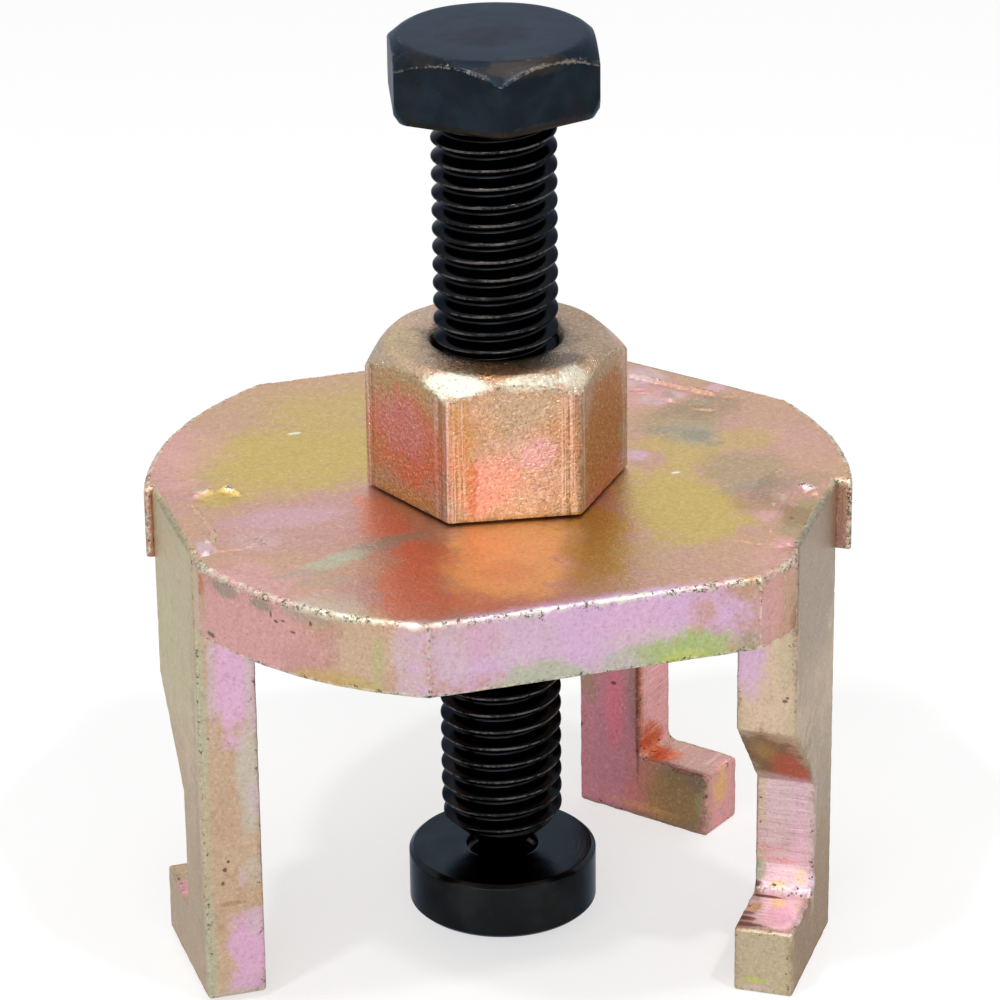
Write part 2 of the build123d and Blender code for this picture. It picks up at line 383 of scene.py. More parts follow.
def slab(name, outline, place, low, high, low_edge, high_edge, hole=()):
    """A flat piece with rounded, uneven edges. outline is in mm; place turns it and a depth into
    metres; low_edge and high_edge give the edge radius at a point; hole is its bore's rows."""
    path = list(outline)
    count = len(path)
    outward, corner, run_length = [], [], []
    for before, here, after in zip(path[-1:] + path[:-1], path, path[1:] + path[:1]):
        run = (after - before).normalized()
        outward.append(Vector((run.y, -run.x)))
        corner.append(abs(turning(before, here, after)) > corner_turn)
        run_length.append((after - here).length)
    to_corner = [0.0 if c else edge_band for c in corner]
    for order in (range(2 * count), range(2 * count, 0, -1)):
        for i in order:
            here, last = i % count, (i - 1 if order.step > 0 else i + 1) % count
            step = run_length[last] if order.step > 0 else run_length[here]
            to_corner[here] = min(to_corner[here], to_corner[last] + step)
    corner_mark = [1 - d / edge_band for d in to_corner]
    low_radius = [low_edge(p) for p in path]
    high_radius = [high_edge(p) for p in path]
    rows = []
    for k in range(4, 0, -1):
        a = math.radians(edge_step * k)
        rows.append([(r * (1 - math.cos(a)), low + r * (1 - math.sin(a)), 1.0) for r in low_radius])
    for share in side_shares:
        row = []
        for r_low, r_high in zip(low_radius, high_radius):
            depth = (low + r_low) * (1 - share) + (high - r_high) * share
            near = min(depth - low - r_low, high - r_high - depth)
            row.append((0.0, depth, max(0.0, 1 - near / edge_band)))
        rows.append(row)
    for k in range(1, 5):
        a = math.radians(edge_step * k)
        rows.append([(r * (1 - math.cos(a)), high - r * (1 - math.sin(a)), 1.0) for r in high_radius])
    vertices, flats, marks = [], [], []
    for row in rows:
        for here, out, (inset, depth, mark), at_corner in zip(path, outward, row, corner_mark):
            point = here - out * inset
            flats.append((point.x, point.y, depth))
            vertices.append(place(point, depth))
            marks.append(max(mark, at_corner))
    faces = []
    for k in range(len(rows) - 1):
        faces += faces_between(k * count, (k + 1) * count, count)
    hole_first = len(vertices)
    for radius, depth in hole:
        for i in range(bore_columns):
            a = 2 * math.pi * i / bore_columns
            point = Vector((radius * math.cos(a), radius * math.sin(a)))
            flats.append((point.x, point.y, depth))
            vertices.append(place(point, depth))
            marks.append(0.5)
    for k in range(len(hole) - 1):
        first = hole_first + k * bore_columns
        faces += faces_between(first, first + bore_columns, bore_columns, inside=True)
    for cap, depth in ((0, low), (len(rows) - 1, high)):
        ring = [Vector(flats[cap * count + i][:2]) for i in range(count)]
        ids = list(range(cap * count, (cap + 1) * count))
        bounds = [(i, (i + 1) % count) for i in range(count)]
        near = np.array([tuple(p) for p in ring])
        hole_radius = 0.0
        if hole:
            hole_ring = 0 if cap == 0 else len(hole) - 1
            hole_radius = hole[hole_ring][0]
            first = hole_first + hole_ring * bore_columns
            ids += range(first, first + bore_columns)
            bounds += [(count + i, count + (i + 1) % bore_columns) for i in range(bore_columns)]
        inner = []
        for reach in (face_inset, edge_band):
            for p, out in zip(ring, outward):
                point = p - out * reach
                if np.hypot(*(near - point).T).min() > reach * 0.93:
                    if not inner or min((point - q).length for q in inner[-60:]) > inset_spacing:
                        inner.append(point)
        box_low, box_high = near.min(0), near.max(0)
        across_box, up_box = ((box_high - box_low) / face_spacing).astype(int) + 1
        for a in range(across_box):
            for b in range(up_box):
                x, y = face_spacing * (a + 0.5 * (b % 2)), face_spacing * b
                point = Vector((box_low[0] + x, box_low[1] + y))
                clear = np.hypot(*(near - point).T).min() > edge_band + face_margin
                if clear and point.length > hole_radius + face_margin:
                    inner.append(point)
        points = ring + [Vector(flats[i][:2]) for i in ids[count:]] + inner
        found, _, triangles, origins, _, _ = delaunay_2d_cdt(points, bounds, [], 1, 1e-6)
        known = []
        for point, origin in zip(found, origins):
            source = origin[0] if origin else -1
            if 0 <= source < len(ids):
                known.append(ids[source])
                continue
            known.append(len(vertices))
            flats.append((point.x, point.y, depth))
            vertices.append(place(point, depth))
            marks.append(max(0.0, 1 - np.hypot(*(near - point).T).min() / edge_band))
        for triangle in triangles:
            middle = sum((found[i] for i in triangle), Vector((0, 0))) / 3
            if middle.length > hole_radius:
                face = [known[i] for i in triangle]
                faces.append(face if cap else face[::-1])
    return finish_mesh(name, vertices, faces, marks, flats)


def uneven(place, scale, seed):
    """Smooth random value about 0 at a place, the same on every run."""
    return noise.noise(Vector((place[0] * scale, place[1] * scale, seed)))


plate_middle = (plate_low.z + plate_high.z) / 2
plate_loop = section_loops("plate", (0, 0, plate_middle), (0, 0, 1), lambda p: Vector((p.x, p.y)) / MM)[0]
turned_radius = max(p.length for p in plate_loop)
plate_outline = even_outline(plate_loop, plate_point_spacing, plate_corner, 12)
for point in plate_outline:
    if turned_radius - point.length < turned_slack:
        point *= turned_radius / point.length


def worn_edge(point):
    """Radius of the plate's top edge, uneven and nicked here and there."""
    wave = 1 + 0.25 * uneven(point, 0.4, 3.1) + 0.35 * uneven(point, 2.4, 7.7)
    nick = max(0.0, uneven(point, 0.8, 21.3) - 0.45) * 1.2
    return plate_edge * wave + nick


def under_edge(point):
    return plate_under_edge * (1 + 0.3 * uneven(point, 1.1, 5.5))


plate_foot, plate_top = plate_low.z / MM, plate_high.z / MM
plate = slab("plate_bar", plate_outline, lambda p, depth: Vector((p.x, p.y, depth)) * MM,
             plate_foot, plate_top, under_edge, worn_edge,
             [(plate_bore + plate_countersink, plate_foot), (plate_bore, plate_foot + plate_countersink),
              (plate_bore, plate_top)])


# colours that the zinc's chromate film takes from place to place, with bare metal, and spots that are painted
# highlights
zinc_colours = {
    "beige": (0.50, 0.41, 0.235, 1), "drab": (0.45, 0.33, 0.205, 1), "umber": (0.34, 0.245, 0.165, 1),
    "tan": (0.63, 0.46, 0.31, 1), "biscuit": (0.60, 0.40, 0.27, 1), "straw": (0.58, 0.48, 0.32, 1),
    "sand": (0.71, 0.53, 0.38, 1), "ash": (0.61, 0.54, 0.44, 1), "olive": (0.57, 0.42, 0.115, 1),
    "honey": (0.56, 0.39, 0.18, 1), "moss": (0.42, 0.32, 0.17, 1), "salmon": (0.58, 0.35, 0.225, 1),
    "clay": (0.46, 0.37, 0.275, 1), "pink": (0.57, 0.315, 0.275, 1), "blush": (0.70, 0.37, 0.36, 1),
    "rose": (0.71, 0.30, 0.37, 1), "crimson": (0.90, 0.27, 0.36, 1), "coral": (0.80, 0.37, 0.38, 1),
    "flame": (0.70, 0.17, 0.07, 1), "cocoa": (0.28, 0.145, 0.045, 1), "rust": (0.55, 0.145, 0.05, 1),
    "maroon": (0.17, 0.045, 0.035, 1), "ochre": (0.82, 0.46, 0.20, 1), "yellow": (0.97, 0.80, 0.42, 1),
    "magenta": (0.79, 0.47, 0.66, 1), "lilac": (0.71, 0.46, 0.67, 1), "silver_lilac": (0.68, 0.51, 0.56, 1),
    "silver_rose": (0.74, 0.53, 0.55, 1), "bright_rose": (1.0, 0.78, 0.86, 1),
    "copper": (0.88, 0.52, 0.20, 1), "red_copper": (0.73, 0.23, 0.12, 1), "bronze": (0.55, 0.32, 0.055, 1),
    "chestnut": (0.48, 0.18, 0.03, 1), "silver": (0.84, 0.85, 0.70, 1), "dim_silver": (0.62, 0.60, 0.50, 1),
    "oil": (0.12, 0.09, 0.065, 1), "green": (0.43, 0.53, 0.20, 1), "lime": (0.56, 0.60, 0.16, 1),
    "sage": (0.49, 0.52, 0.38, 1), "grey_green": (0.39, 0.36, 0.28, 1), "grey": (0.31, 0.28, 0.22, 1),
}
worn_zinc = (0.73, 0.73, 0.57, 1)
zinc_bumps = 0.06               # depth of the finish's bumps, mm
pit_colour = (0.08, 0.072, 0.055, 1)
grime = (0.20, 0.14, 0.09, 1)
# painted highlight: light grains are coloured as glints of the lamps; dark grains are specks, partly painted
# shade
painted_glint_colour, grain_speck_and_shade = (1.0, 0.92, 0.76, 1), (0.14, 0.08, 0.05, 1)
light_line, dark_line = (0.86, 0.62, 0.60, 1), (0.24, 0.12, 0.11, 1)
dull_fleck = (0.24, 0.24, 0.20, 1)
top_depth = 3                   # how far a patch on the plate's top reaches down


def metal_surface(start, colour, roughness, height, depth, sheen=None):
    """Ends a material in a metal shader, its bumps depth mm high and sheen its tint at a flat angle."""
    normal = start.node("Bump", inputs={"Height": height, "Distance": depth * MM})
    inputs = {"Base Color": colour, "Metallic": 1.0, "Roughness": roughness, "Normal": normal}
    if sheen:
        inputs["Specular Tint"] = sheen
    start.node("OutputMaterial", inputs={"Surface": start.node("BsdfPrincipled", inputs=inputs)})


def zinc_finish(name, ground, drift, patches, mark=None, grain=0.45, polish=0.36, wear=0.92, bare=0.7,
                flecks=0.8, mottle=0.15, glints=0.24, lines=None, lined=None):
    """Yellow zinc. Its colour drifts between two, with patches of (colour, centre, size in mm,
    strength). mark names the stored place to use instead of the object's own; grain is the depth
    of the blasting and glints how strongly its grains are painted with light glints and with dark
    specks, partly painted shade. wear is the edge mark where plating starts to go, bare how much
    metal shows there, flecks how dark the nicks are and mottle how uneven the film is. lines
    stretches the noise of drawn or milled lines, and lined says where."""
    material, start = new_material(name)
    place = start.place()
    flat = start.node("Attribute", {"attribute_name": mark}, output="Vector") if mark else place
    coarse = flat.noise(0.5, 4, 0.62) - 0.5
    ragged = coarse * 1.1 + (place.noise(2.4, 3, 0.7) - 0.5) * 0.45
    colour = flat.noise(0.11, 3, 0.6).step(0.38, 0.62).between(zinc_colours[ground], zinc_colours[drift])
    for patch, centre, size, strength in patches:
        colour = colour.blend(zinc_colours[patch], flat.patch(centre, size, ragged) * strength)
    colour = colour.blend(grime, flat.noise(0.8, 4, 0.75).step(0.50, 0.74) * mottle)
    # painted glints and shade: grains coloured light and dark as if some caught the lamps
    glint = place.noise(3.6, 3, 0.8)
    colour = colour.blend(painted_glint_colour, glint.step(0.53, 0.70) * glints)
    colour = colour.blend(grain_speck_and_shade, glint.step(0.48, 0.32) * glints)
    dull = (coarse * 0.7 + place.noise(2.6, 3, 0.8) - 0.5).step(0.16, 0.30)
    colour = colour.blend(dull_fleck, dull * 0.4)
    edge = start.edge()
    scuffs = place.noise(1.6, 4, 0.75) - 0.5
    worn = (edge + scuffs * 1.1).step(wear, wear + 0.3)
    colour = colour.blend(worn_zinc, worn * bare)
    clusters = place.noise(0.55, 3, 0.7).step(0.40, 0.60)
    nicks = (edge * 0.55 + place.noise(3.3, 4, 0.85)).step(1.04, 1.14) * clusters * flecks
    colour = colour.blend(pit_colour, nicks)
    pits = (edge * 0.20 + place.noise(1.9, 4, 0.72)).step(0.79, 0.84)
    colour = colour.blend(pit_colour, pits * 0.8)
    height = place.noise(4.5, 2, 0.6) * grain + glint * grain + coarse * 0.7
    height = height - pits * 1.2 + scuffs * edge * 0.9
    roughness = polish + coarse * 0.12 + pits * 0.2 + nicks * 0.15 - worn * 0.06 + edge.step(0.55, 1.0) * 0.14
    if lines:
        ruled = (flat.noise(1.0, 3, 0.7, lines) - 0.5) * lined(flat)
        height = height + ruled * 1.6
        colour = colour.blend(light_line, ruled.step(0.08, 0.2) * 0.6)
        colour = colour.blend(dark_line, (0 - ruled).step(0.10, 0.24) * 0.5)
    metal_surface(start, colour, roughness, height, zinc_bumps)
    return material


def on_face(axis, level, *rows):
    """Patches on a face at a level on one axis. A row holds a colour, the place on the other two
    axes, the reach on all three and the strength."""
    patches = []
    for colour, a, b, *reach, strength in rows:
        place = [a, b]
        place.insert(axis, level)
        patches.append((colour, place, reach, strength))
    return patches


def on_top(*rows):
    """Patches on the plate's top, from rows of colour, x, y, reach in x and y, strength."""
    return on_face(2, plate_top, *[(*row[:5], top_depth, row[5]) for row in rows])


front_face = plate_low.y / MM
top_patches = on_top(
    ("olive", -14, 9, 12.5, 9, 1.0), ("honey", -9, 18.5, 12, 6.5, 0.8), ("olive", -9, 17, 7, 4.5, 0.6),
    ("blush", -22.5, 14.5, 4.5, 7, 0.5), ("blush", -24.5, 11, 3, 6, 0.5), ("salmon", -19, 19, 6, 4, 0.7),
    ("olive", -21, 3, 3.6, 2, 0.7), ("pink", -19, -4.5, 9, 5.5, 0.95), ("lilac", -18, -2.5, 6, 2.6, 0.3),
    ("silver_lilac", -21.5, -6, 2.6, 2.2, 0.3), ("red_copper", -11, -5.5, 2.4, 6.5, 0.7),
    ("pink", -15.5, -18, 4.5, 3.6, 0.8), ("red_copper", -9.8, -13.5, 3.2, 4.6, 0.8),
    ("red_copper", -12.6, -17.5, 3.6, 4.2, 0.8), ("red_copper", -13, -21.5, 4.5, 3.2, 0.75),
    ("red_copper", -7, -21.5, 5.5, 4, 0.5), ("copper", -2.5, -11.6, 6, 5.5, 1.0),
    ("copper", -4.6, -17.5, 6, 6.5, 0.9), ("red_copper", -4.6, -17.8, 2.6, 2.4, 0.28),
    ("bronze", 4.6, -11.5, 3.2, 4.6, 1.0), ("bronze", 3.0, -16.5, 3.2, 4.6, 0.95),
    ("bronze", 1.4, -21, 3.4, 3.2, 0.75), ("honey", 6.4, -18, 3.0, 4.5, 0.5),
    ("salmon", 4, -23, 7, 2.6, 0.6), ("olive", 12, -10.5, 6, 10.5, 1.0), ("olive", 15, 0, 5, 5, 0.8),
    ("olive", 21, 0.5, 4, 3, 0.6), ("salmon", 14, -20, 6.5, 3.6, 0.9), ("blush", 16, -21.5, 3.5, 2.5, 0.5),
    ("moss", 19, -5.5, 4.5, 5, 0.75), ("moss", 17.5, 5.5, 4.5, 4.5, 0.75),
    ("cocoa", 17.5, -11.5, 2.4, 3.2, 0.35), ("pink", 12.4, -0.6, 2.0, 2.6, 0.8),
    ("lilac", 11.8, 0.4, 1.3, 1.4, 0.5), ("umber", 20, 8, 4.5, 2.6, 0.6),
    ("blush", 16.5, 12.5, 4.5, 4, 0.8), ("silver_lilac", 17.5, 11, 2.6, 1.6, 0.5),
    ("grey_green", -10.5, -9.0, 2.6, 0.9, 0.8), ("grey_green", -13, -10.0, 2.4, 1.1, 0.8),
    ("sage", -15.4, -10.9, 2.4, 1.1, 0.75), ("sage", -17.4, -11.9, 2.4, 1.1, 0.75),
    ("grey_green", -20, -13.2, 3.0, 1.2, 0.6), ("grey_green", -18.6, -15, 3.2, 1.2, 0.3),
    ("grey_green", 17.4, 3, 2.6, 3.6, 0.55), ("grey", 17.6, 2.4, 1.5, 2.0, 0.8),
    ("blush", 25, -2, 2.6, 6, 0.25), ("grey", 15.6, 4.4, 1.8, 0.9, 0.5),
    ("grey", 18.4, 0.6, 1.2, 0.7, 0.55), ("grey", 18, -8.6, 3, 1.2, 0.45)
) + [
    ("silver", (-13.2, 13.5, plate_top), (0.8, 0.25, 0.4), 1.0),
    ("silver", (13.6, -4, plate_top), (0.5, 0.22, 0.4), 1.0),
    ("oil", (13.9, -24.5, plate_top - 0.2), (0.75, 0.5, 0.6), 1.0),
]
rim_patches = [
    ("beige", (-26.5, -8, 34.5), (1.2, 2, 6), 0.7), ("blush", (-24, -14.5, 34), (7.5, 9, 6), 0.95),
    ("pink", (-21.5, -18.3, 33), (2.2, 2.2, 2), 0.6), ("tan", (-17.2, -22.3, 34.2), (3.2, 3.2, 6), 0.8),
    ("olive", (-18.5, -20.5, plate_foot + 0.4), (5, 5, 1.0), 0.6),
    ("silver_lilac", (-14.4, -24.3, 34.5), (2.2, 1.6, 6), 0.7),
    ("green", (-16.6, -22.8, 34), (0.7, 0.7, 3), 0.35),
    ("grey", (-25.8, -12.4, plate_top - 0.9), (1.2, 3.2, 0.9), 0.75),
    ("grey", (-23.9, -15.6, plate_top - 0.9), (1.4, 1.6, 0.7), 0.8),
    ("grey_green", (-21, -19, plate_top - 0.9), (3, 3, 0.7), 0.5),
    ("dim_silver", (-20, -20, plate_top - 0.2), (4, 4, 0.6), 0.5),
    ("oil", (-23.1, -16.3, 36.5), (0.12, 0.17, 0.5), 0.9),
    ("oil", (-22.8, -16.7, 36.0), (0.22, 0.26, 0.16), 0.85),
    ("oil", (-22.4, -17.2, 36.2), (0.28, 0.3, 0.12), 0.8),
    ("oil", (-21.8, -17.9, 35.5), (0.3, 0.32, 0.13), 0.8),
    ("oil", (-20.7, -19.1, 36.6), (0.2, 0.2, 0.35), 0.9),
    ("oil", (-26.3, -10.3, 32.5), (0.4, 0.7, 0.22), 0.9),
    ("rust", (-26.9, -8.9, 36.4), (0.9, 0.9, 1.5), 0.7),
    *on_face(1, front_face,
             ("lilac", -1, 35.3, 16.5, 1.6, 6, 1.0), ("silver_lilac", -5.5, 35, 3.5, 1, 4, 0.55),
             ("silver_lilac", 4.5, 34, 5, 1, 1.6, 0.7), ("magenta", 3, 36, 4.5, 1, 1.6, 0.4),
             ("blush", -9.5, 36, 2.6, 1, 2, 0.35), ("sage", -4.5, plate_foot + 0.3, 5, 1, 1.9, 0.9),
             ("sage", 3, plate_foot + 0.6, 4.5, 1, 1.6, 0.7),
             ("green", 7.4, plate_foot + 0.5, 4.6, 1, 2.6, 0.95),
             ("lime", 7, plate_foot + 0.2, 2.6, 1, 1.1, 0.7), ("blush", 8.4, 35.6, 1.5, 1, 1.8, 0.5),
             ("salmon", 8.8, 35.8, 0.8, 1, 1.0, 0.5), ("silver_lilac", -11.5, 35.5, 2, 1, 4, 0.6),
             ("grey_green", 12.6, plate_foot + 0.6, 1.6, 1, 1.6, 0.6)),
    ("blush", (14.2, -24.2, 35), (1.8, 1.8, 4.5), 0.8), ("cocoa", (17.8, -21.8, 33.6), (2.6, 2.6, 6), 0.7),
    ("biscuit", (16.4, -23, 35.6), (1.2, 1.2, 2.5), 0.6), ("rust", (-27, 6, 34.5), (2, 4, 4), 0.5),
]
brushing = (1.8, 1.8, 0.12)


def on_rim(flat):
    """Where the brushed rim is."""
    return flat.axis("Z").step(plate_top - 0.1, plate_top - 0.5) * 0.35


plate.data.materials.append(zinc_finish("plate_zinc_film", "salmon", "pink", top_patches + rim_patches,
                                        wear=0.86, bare=0.8, flecks=1.0, lines=brushing, lined=on_rim))
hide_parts("plate")
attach(plate, "frame")


# Jaws: 13 x 5 mm bar with a hook milled into one edge, set into the plate's notches.
# Each is zinc plated with the plate; the milled throat keeps its fine cutter lines.
jaw_edge = 0.24
jaw_corner = 0.12
jaw_point_spacing = 0.3
jaw_top_grind = 0.3             # edge radius where the jaw's top was ground with its weld
jaw_top_reach = 0.4             # and how far down that goes
jaw_hook, jaw_back, jaw_web = 6.5, -6.5, -0.35
mounts = {mount["name"]: mount for mount in frame["record"]["mounts"]}
jaw_patches = {
    # place along the jaw's width towards the hook, height, distance from the screw
    "left": [
        *on_face(2, 26.8,
                 ("beige", 0, 30, 13, 16, 0.8, 1.0), ("drab", 0, 6, 13, 17, 0.8, 0.95),
                 ("green", 2, 27, 4, 6, 0.6, 0.18)),
        ("grey", (-0.5, 37.8, 26.7), (6, 0.5, 0.5), 0.6), ("umber", (-6.5, 14, 26.9), (2.6, 26, 0.5), 0.5),
        *on_face(0, jaw_back,
                 ("ash", 18, 22.6, 1.3, 6.5, 1.7, 0.95), ("silver_lilac", 16, 22.4, 1.0, 1.8, 0.8, 0.6),
                 ("ash", 9.6, 22.8, 1.0, 2.0, 1.1, 0.7), ("silver_lilac", 9, 23.7, 1.0, 1.5, 0.4, 0.5),
                 ("magenta", 27, 24.0, 1.4, 6.8, 1.9, 1.0), ("silver_lilac", 26, 22.3, 1.2, 6, 0.9, 0.85),
                 ("silver_lilac", 26.5, 25.6, 1.0, 5.5, 0.5, 0.7),
                 ("magenta", 2.2, 23.2, 1.3, 4.4, 2.3, 1.0),
                 ("silver_lilac", 5.0, 22.5, 1.0, 1.5, 1.3, 0.7), ("lilac", -0.6, 23.5, 1.0, 1.2, 2.2, 0.5),
                 ("straw", 14, 26.5, 1.2, 34, 0.6, 0.95), ("sage", 2, 26.5, 1.2, 9, 0.5, 0.6),
                 ("sage", 24, 26.5, 1.2, 9, 0.4, 0.5), ("ash", -1.7, 24.4, 1.0, 0.7, 4, 0.8),
                 ("oil", 8.7, 25.3, 1.0, 0.26, 0.2, 0.9), ("oil", 9.9, 25.1, 1.0, 0.24, 0.22, 0.9),
                 ("oil", 10.6, 24.8, 1.0, 0.16, 0.15, 0.9), ("cocoa", 6.8, 24.5, 1.0, 0.3, 1.6, 0.3)),
        ("rose", (1.8, 4.05, 25), (2.6, 0.7, 3), 0.8), ("drab", (5, 4.05, 25), (2.6, 0.7, 3), 0.8),
    ],
    "right": [
        *on_face(2, 26.2,
                 ("umber", 1, 32, 13, 13, 0.8, 0.95), ("umber", 5.9, 31, 1.6, 9, 0.6, 0.5),
                 ("drab", -1, 19.5, 13, 8, 0.7, 0.6), ("umber", 0, 7, 13, 15, 0.8, 0.95),
                 ("cocoa", 0, 2, 13, 9, 0.8, 0.8)),
        ("grey", (1.5, 37.8, 26.1), (6.5, 0.5, 0.5), 0.7), ("drab", (-4, 12, 26.2), (4, 14, 0.8), 0.25),
        *on_face(0, jaw_hook,
                 ("sand", 26, 23.8, 1.3, 10, 3.2, 0.95), ("lilac", 28, 22.3, 1.1, 4.5, 1.7, 0.85),
                 ("straw", 27.5, 25.3, 1.1, 3.6, 0.8, 0.7), ("oil", 24.3, 25.3, 1.0, 0.2, 0.3, 0.9),
                 ("oil", 24.6, 25.5, 1.0, 0.15, 0.2, 0.8)),
        ("cocoa", (3.2, 17.6, 23.4), (5.2, 5.4, 3.2), 1.0),
        ("bronze", (3.6, 18.2, 23.2), (2.6, 2.6, 1.4), 0.6),
        ("rust", (1.4, 15.7, 24.6), (4.6, 4.6, 1.75), 1.0),
        *on_face(0, jaw_web,
                 ("silver_rose", 9, 23.8, 1.3, 11, 3.8, 1.0), ("sand", 9.5, 21.7, 1.0, 8, 0.7, 0.8),
                 ("magenta", 10, 24.9, 1.0, 4.4, 0.8, 0.35), ("magenta", 8.6, 21.9, 1.0, 1.2, 0.5, 0.4),
                 ("coral", 7.4, 22.7, 0.9, 0.35, 1.5, 0.6), ("coral", 6.4, 23.6, 0.9, 0.4, 1.7, 0.6),
                 ("bright_rose", 4.4, 24, 1.2, 2.2, 3, 1.0), ("yellow", 4.1, 23.3, 0.9, 0.6, 0.8, 0.7),
                 ("yellow", 5.2, 25.2, 0.9, 1.0, 0.5, 0.6), ("sage", 5.3, 21.8, 0.9, 1.2, 0.6, 0.8),
                 ("maroon", 4.1, 21.5, 0.8, 0.35, 0.6, 0.9)),
        *on_face(1, 3.55,
                 ("bright_rose", 3, 23.8, 5.2, 0.6, 3.2, 1.0), ("magenta", 3.4, 24.4, 2.2, 0.6, 1.3, 0.5),
                 ("yellow", 1.6, 23.9, 1.0, 0.6, 0.9, 0.8), ("ochre", 2.9, 22.1, 1.2, 0.6, 0.7, 0.8),
                 ("rust", 5.4, 21.9, 1.8, 0.6, 1.0, 0.6), ("maroon", 5.7, 22.3, 0.5, 0.6, 1.8, 0.95),
                 ("maroon", 4.7, 21.9, 0.45, 0.6, 1.3, 0.95), ("maroon", 3.8, 21.8, 0.35, 0.6, 1.0, 0.85),
                 ("maroon", 0.75, 22.6, 0.28, 0.6, 2.2, 0.9)),
        *on_face(0, jaw_hook,
                 ("straw", 0.5, 23.8, 1.1, 5.5, 3.6, 0.95), ("lime", -1.0, 23.2, 0.8, 0.4, 1.4, 0.9),
                 ("silver_lilac", -1.7, 23.4, 0.8, 0.4, 1.6, 0.5), ("ash", -2.1, 24, 0.8, 0.4, 3, 0.6)),
    ],
    "rear": [
        *on_face(2, 21.2,
                 ("rose", -4.4, 5, 6.8, 21, 0.8, 1.0), ("red_copper", 0.6, 0, 3.2, 6, 0.7, 0.4),
                 ("umber", 5.6, 1, 5.6, 7, 0.8, 1.0), ("bronze", 3, 0.2, 3.5, 3.5, 0.7, 0.35),
                 ("drab", -5.9, 11, 1.6, 4, 0.7, 0.7), ("crimson", -2.9, 7.6, 1.2, 4.4, 0.7, 0.95),
                 ("umber", -1.0, 9.5, 0.8, 4, 0.6, 0.35)),
        ("maroon", (-0.5, 9, 21.25), (0.32, 9, 0.35), 0.85),
        *on_face(2, 21.2,
                 ("oil", -3, 10, 0.34, 0.2, 0.4, 0.9), ("green", 5.9, 0.8, 0.8, 1.6, 0.5, 0.35),
                 ("ochre", -0.5, -1.1, 4.5, 0.45, 0.6, 0.45), ("umber", 0, -2.3, 9, 0.8, 0.7, 0.75)),
        *on_face(0, jaw_web,
                 ("coral", 10, 23.9, 1.3, 10, 3.2, 1.0), ("rust", 9, 21.5, 0.9, 9, 0.45, 0.5),
                 ("flame", 4.5, 23.0, 0.9, 2.3, 1.9, 1.0)),
        *on_face(1, 3.55,
                 ("pink", 3.5, 23.8, 5.5, 0.6, 3.4, 1.0), ("flame", 0.7, 22.9, 2.1, 0.6, 1.8, 1.0),
                 ("maroon", 4, 21.5, 4, 0.5, 0.6, 0.5)),
        *on_face(0, jaw_hook,
                 ("coral", 0.5, 23.6, 1.1, 5.6, 3.4, 0.95), ("ochre", 1.9, 23.6, 0.9, 2.0, 1.5, 0.95),
                 ("salmon", 1.4, 21.6, 0.9, 3, 0.7, 0.5)),
    ],
}
jaw_grounds = {"left": ("tan", "biscuit"), "right": ("tan", "straw"), "rear": ("salmon", "drab")}
milling = (2.2, 2.2, 0.10)


def in_throat(flat):
    """Where the hook's throat has been milled."""
    along, height = flat.axis("X"), flat.axis("Y")
    return along.step(-0.5, -0.4) * height.step(3.2, 3.35) * height.step(14.4, 13.9) * 0.85 + 0.15


jaw_directions, jaw_reach = {}, {}
for side, patches in jaw_patches.items():
    foot_place = Vector(mounts[side + "_foot"]["pos_m"])
    radial = Vector((foot_place.x, foot_place.y, 0)).normalized()
    hookward = Vector((radial.y, -radial.x, 0))
    jaw_directions[side] = (radial, hookward)
    node = side + "_jaw"
    depths = [v.co.dot(radial) / MM for v in frame["nodes"][node].data.vertices]
    outer, inner = max(depths), min(depths)
    jaw_reach[side] = outer
    middle = radial * (outer + inner) / 2 * MM
    jaw_loop = section_loops(node, middle, radial, lambda p: Vector((p.dot(hookward), p.z)) / MM)[0]
    jaw_outline = even_outline(jaw_loop, jaw_point_spacing, jaw_corner, 35)
    jaw_top = max(p.y for p in jaw_outline)

    def jaw_edge_radius(point, seed=len(side)):
        return jaw_edge * (1 + 0.5 * uneven(point, 0.9, seed) + 0.35 * uneven(point, 2.7, seed + 9.0))

    def jaw_outer_radius(point):
        ground = max(0.0, 1 - (jaw_top - point.y) / jaw_top_reach)
        return jaw_edge_radius(point) * (1 - ground) + jaw_top_grind * ground

    def jaw_place(point, depth):
        return (hookward * point.x + radial * depth + Vector((0, 0, point.y))) * MM

    jaw = slab(side + "_jaw_bar", jaw_outline, jaw_place, inner, outer, jaw_edge_radius, jaw_outer_radius)
    film = zinc_finish(side + "_jaw_film", *jaw_grounds[side], patches, mark="flat", wear=1.02,
                       flecks=0.3, mottle=0.25, lines=milling, lined=in_throat)
    jaw.data.materials.append(film)
    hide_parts(node)
    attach(jaw, "frame")


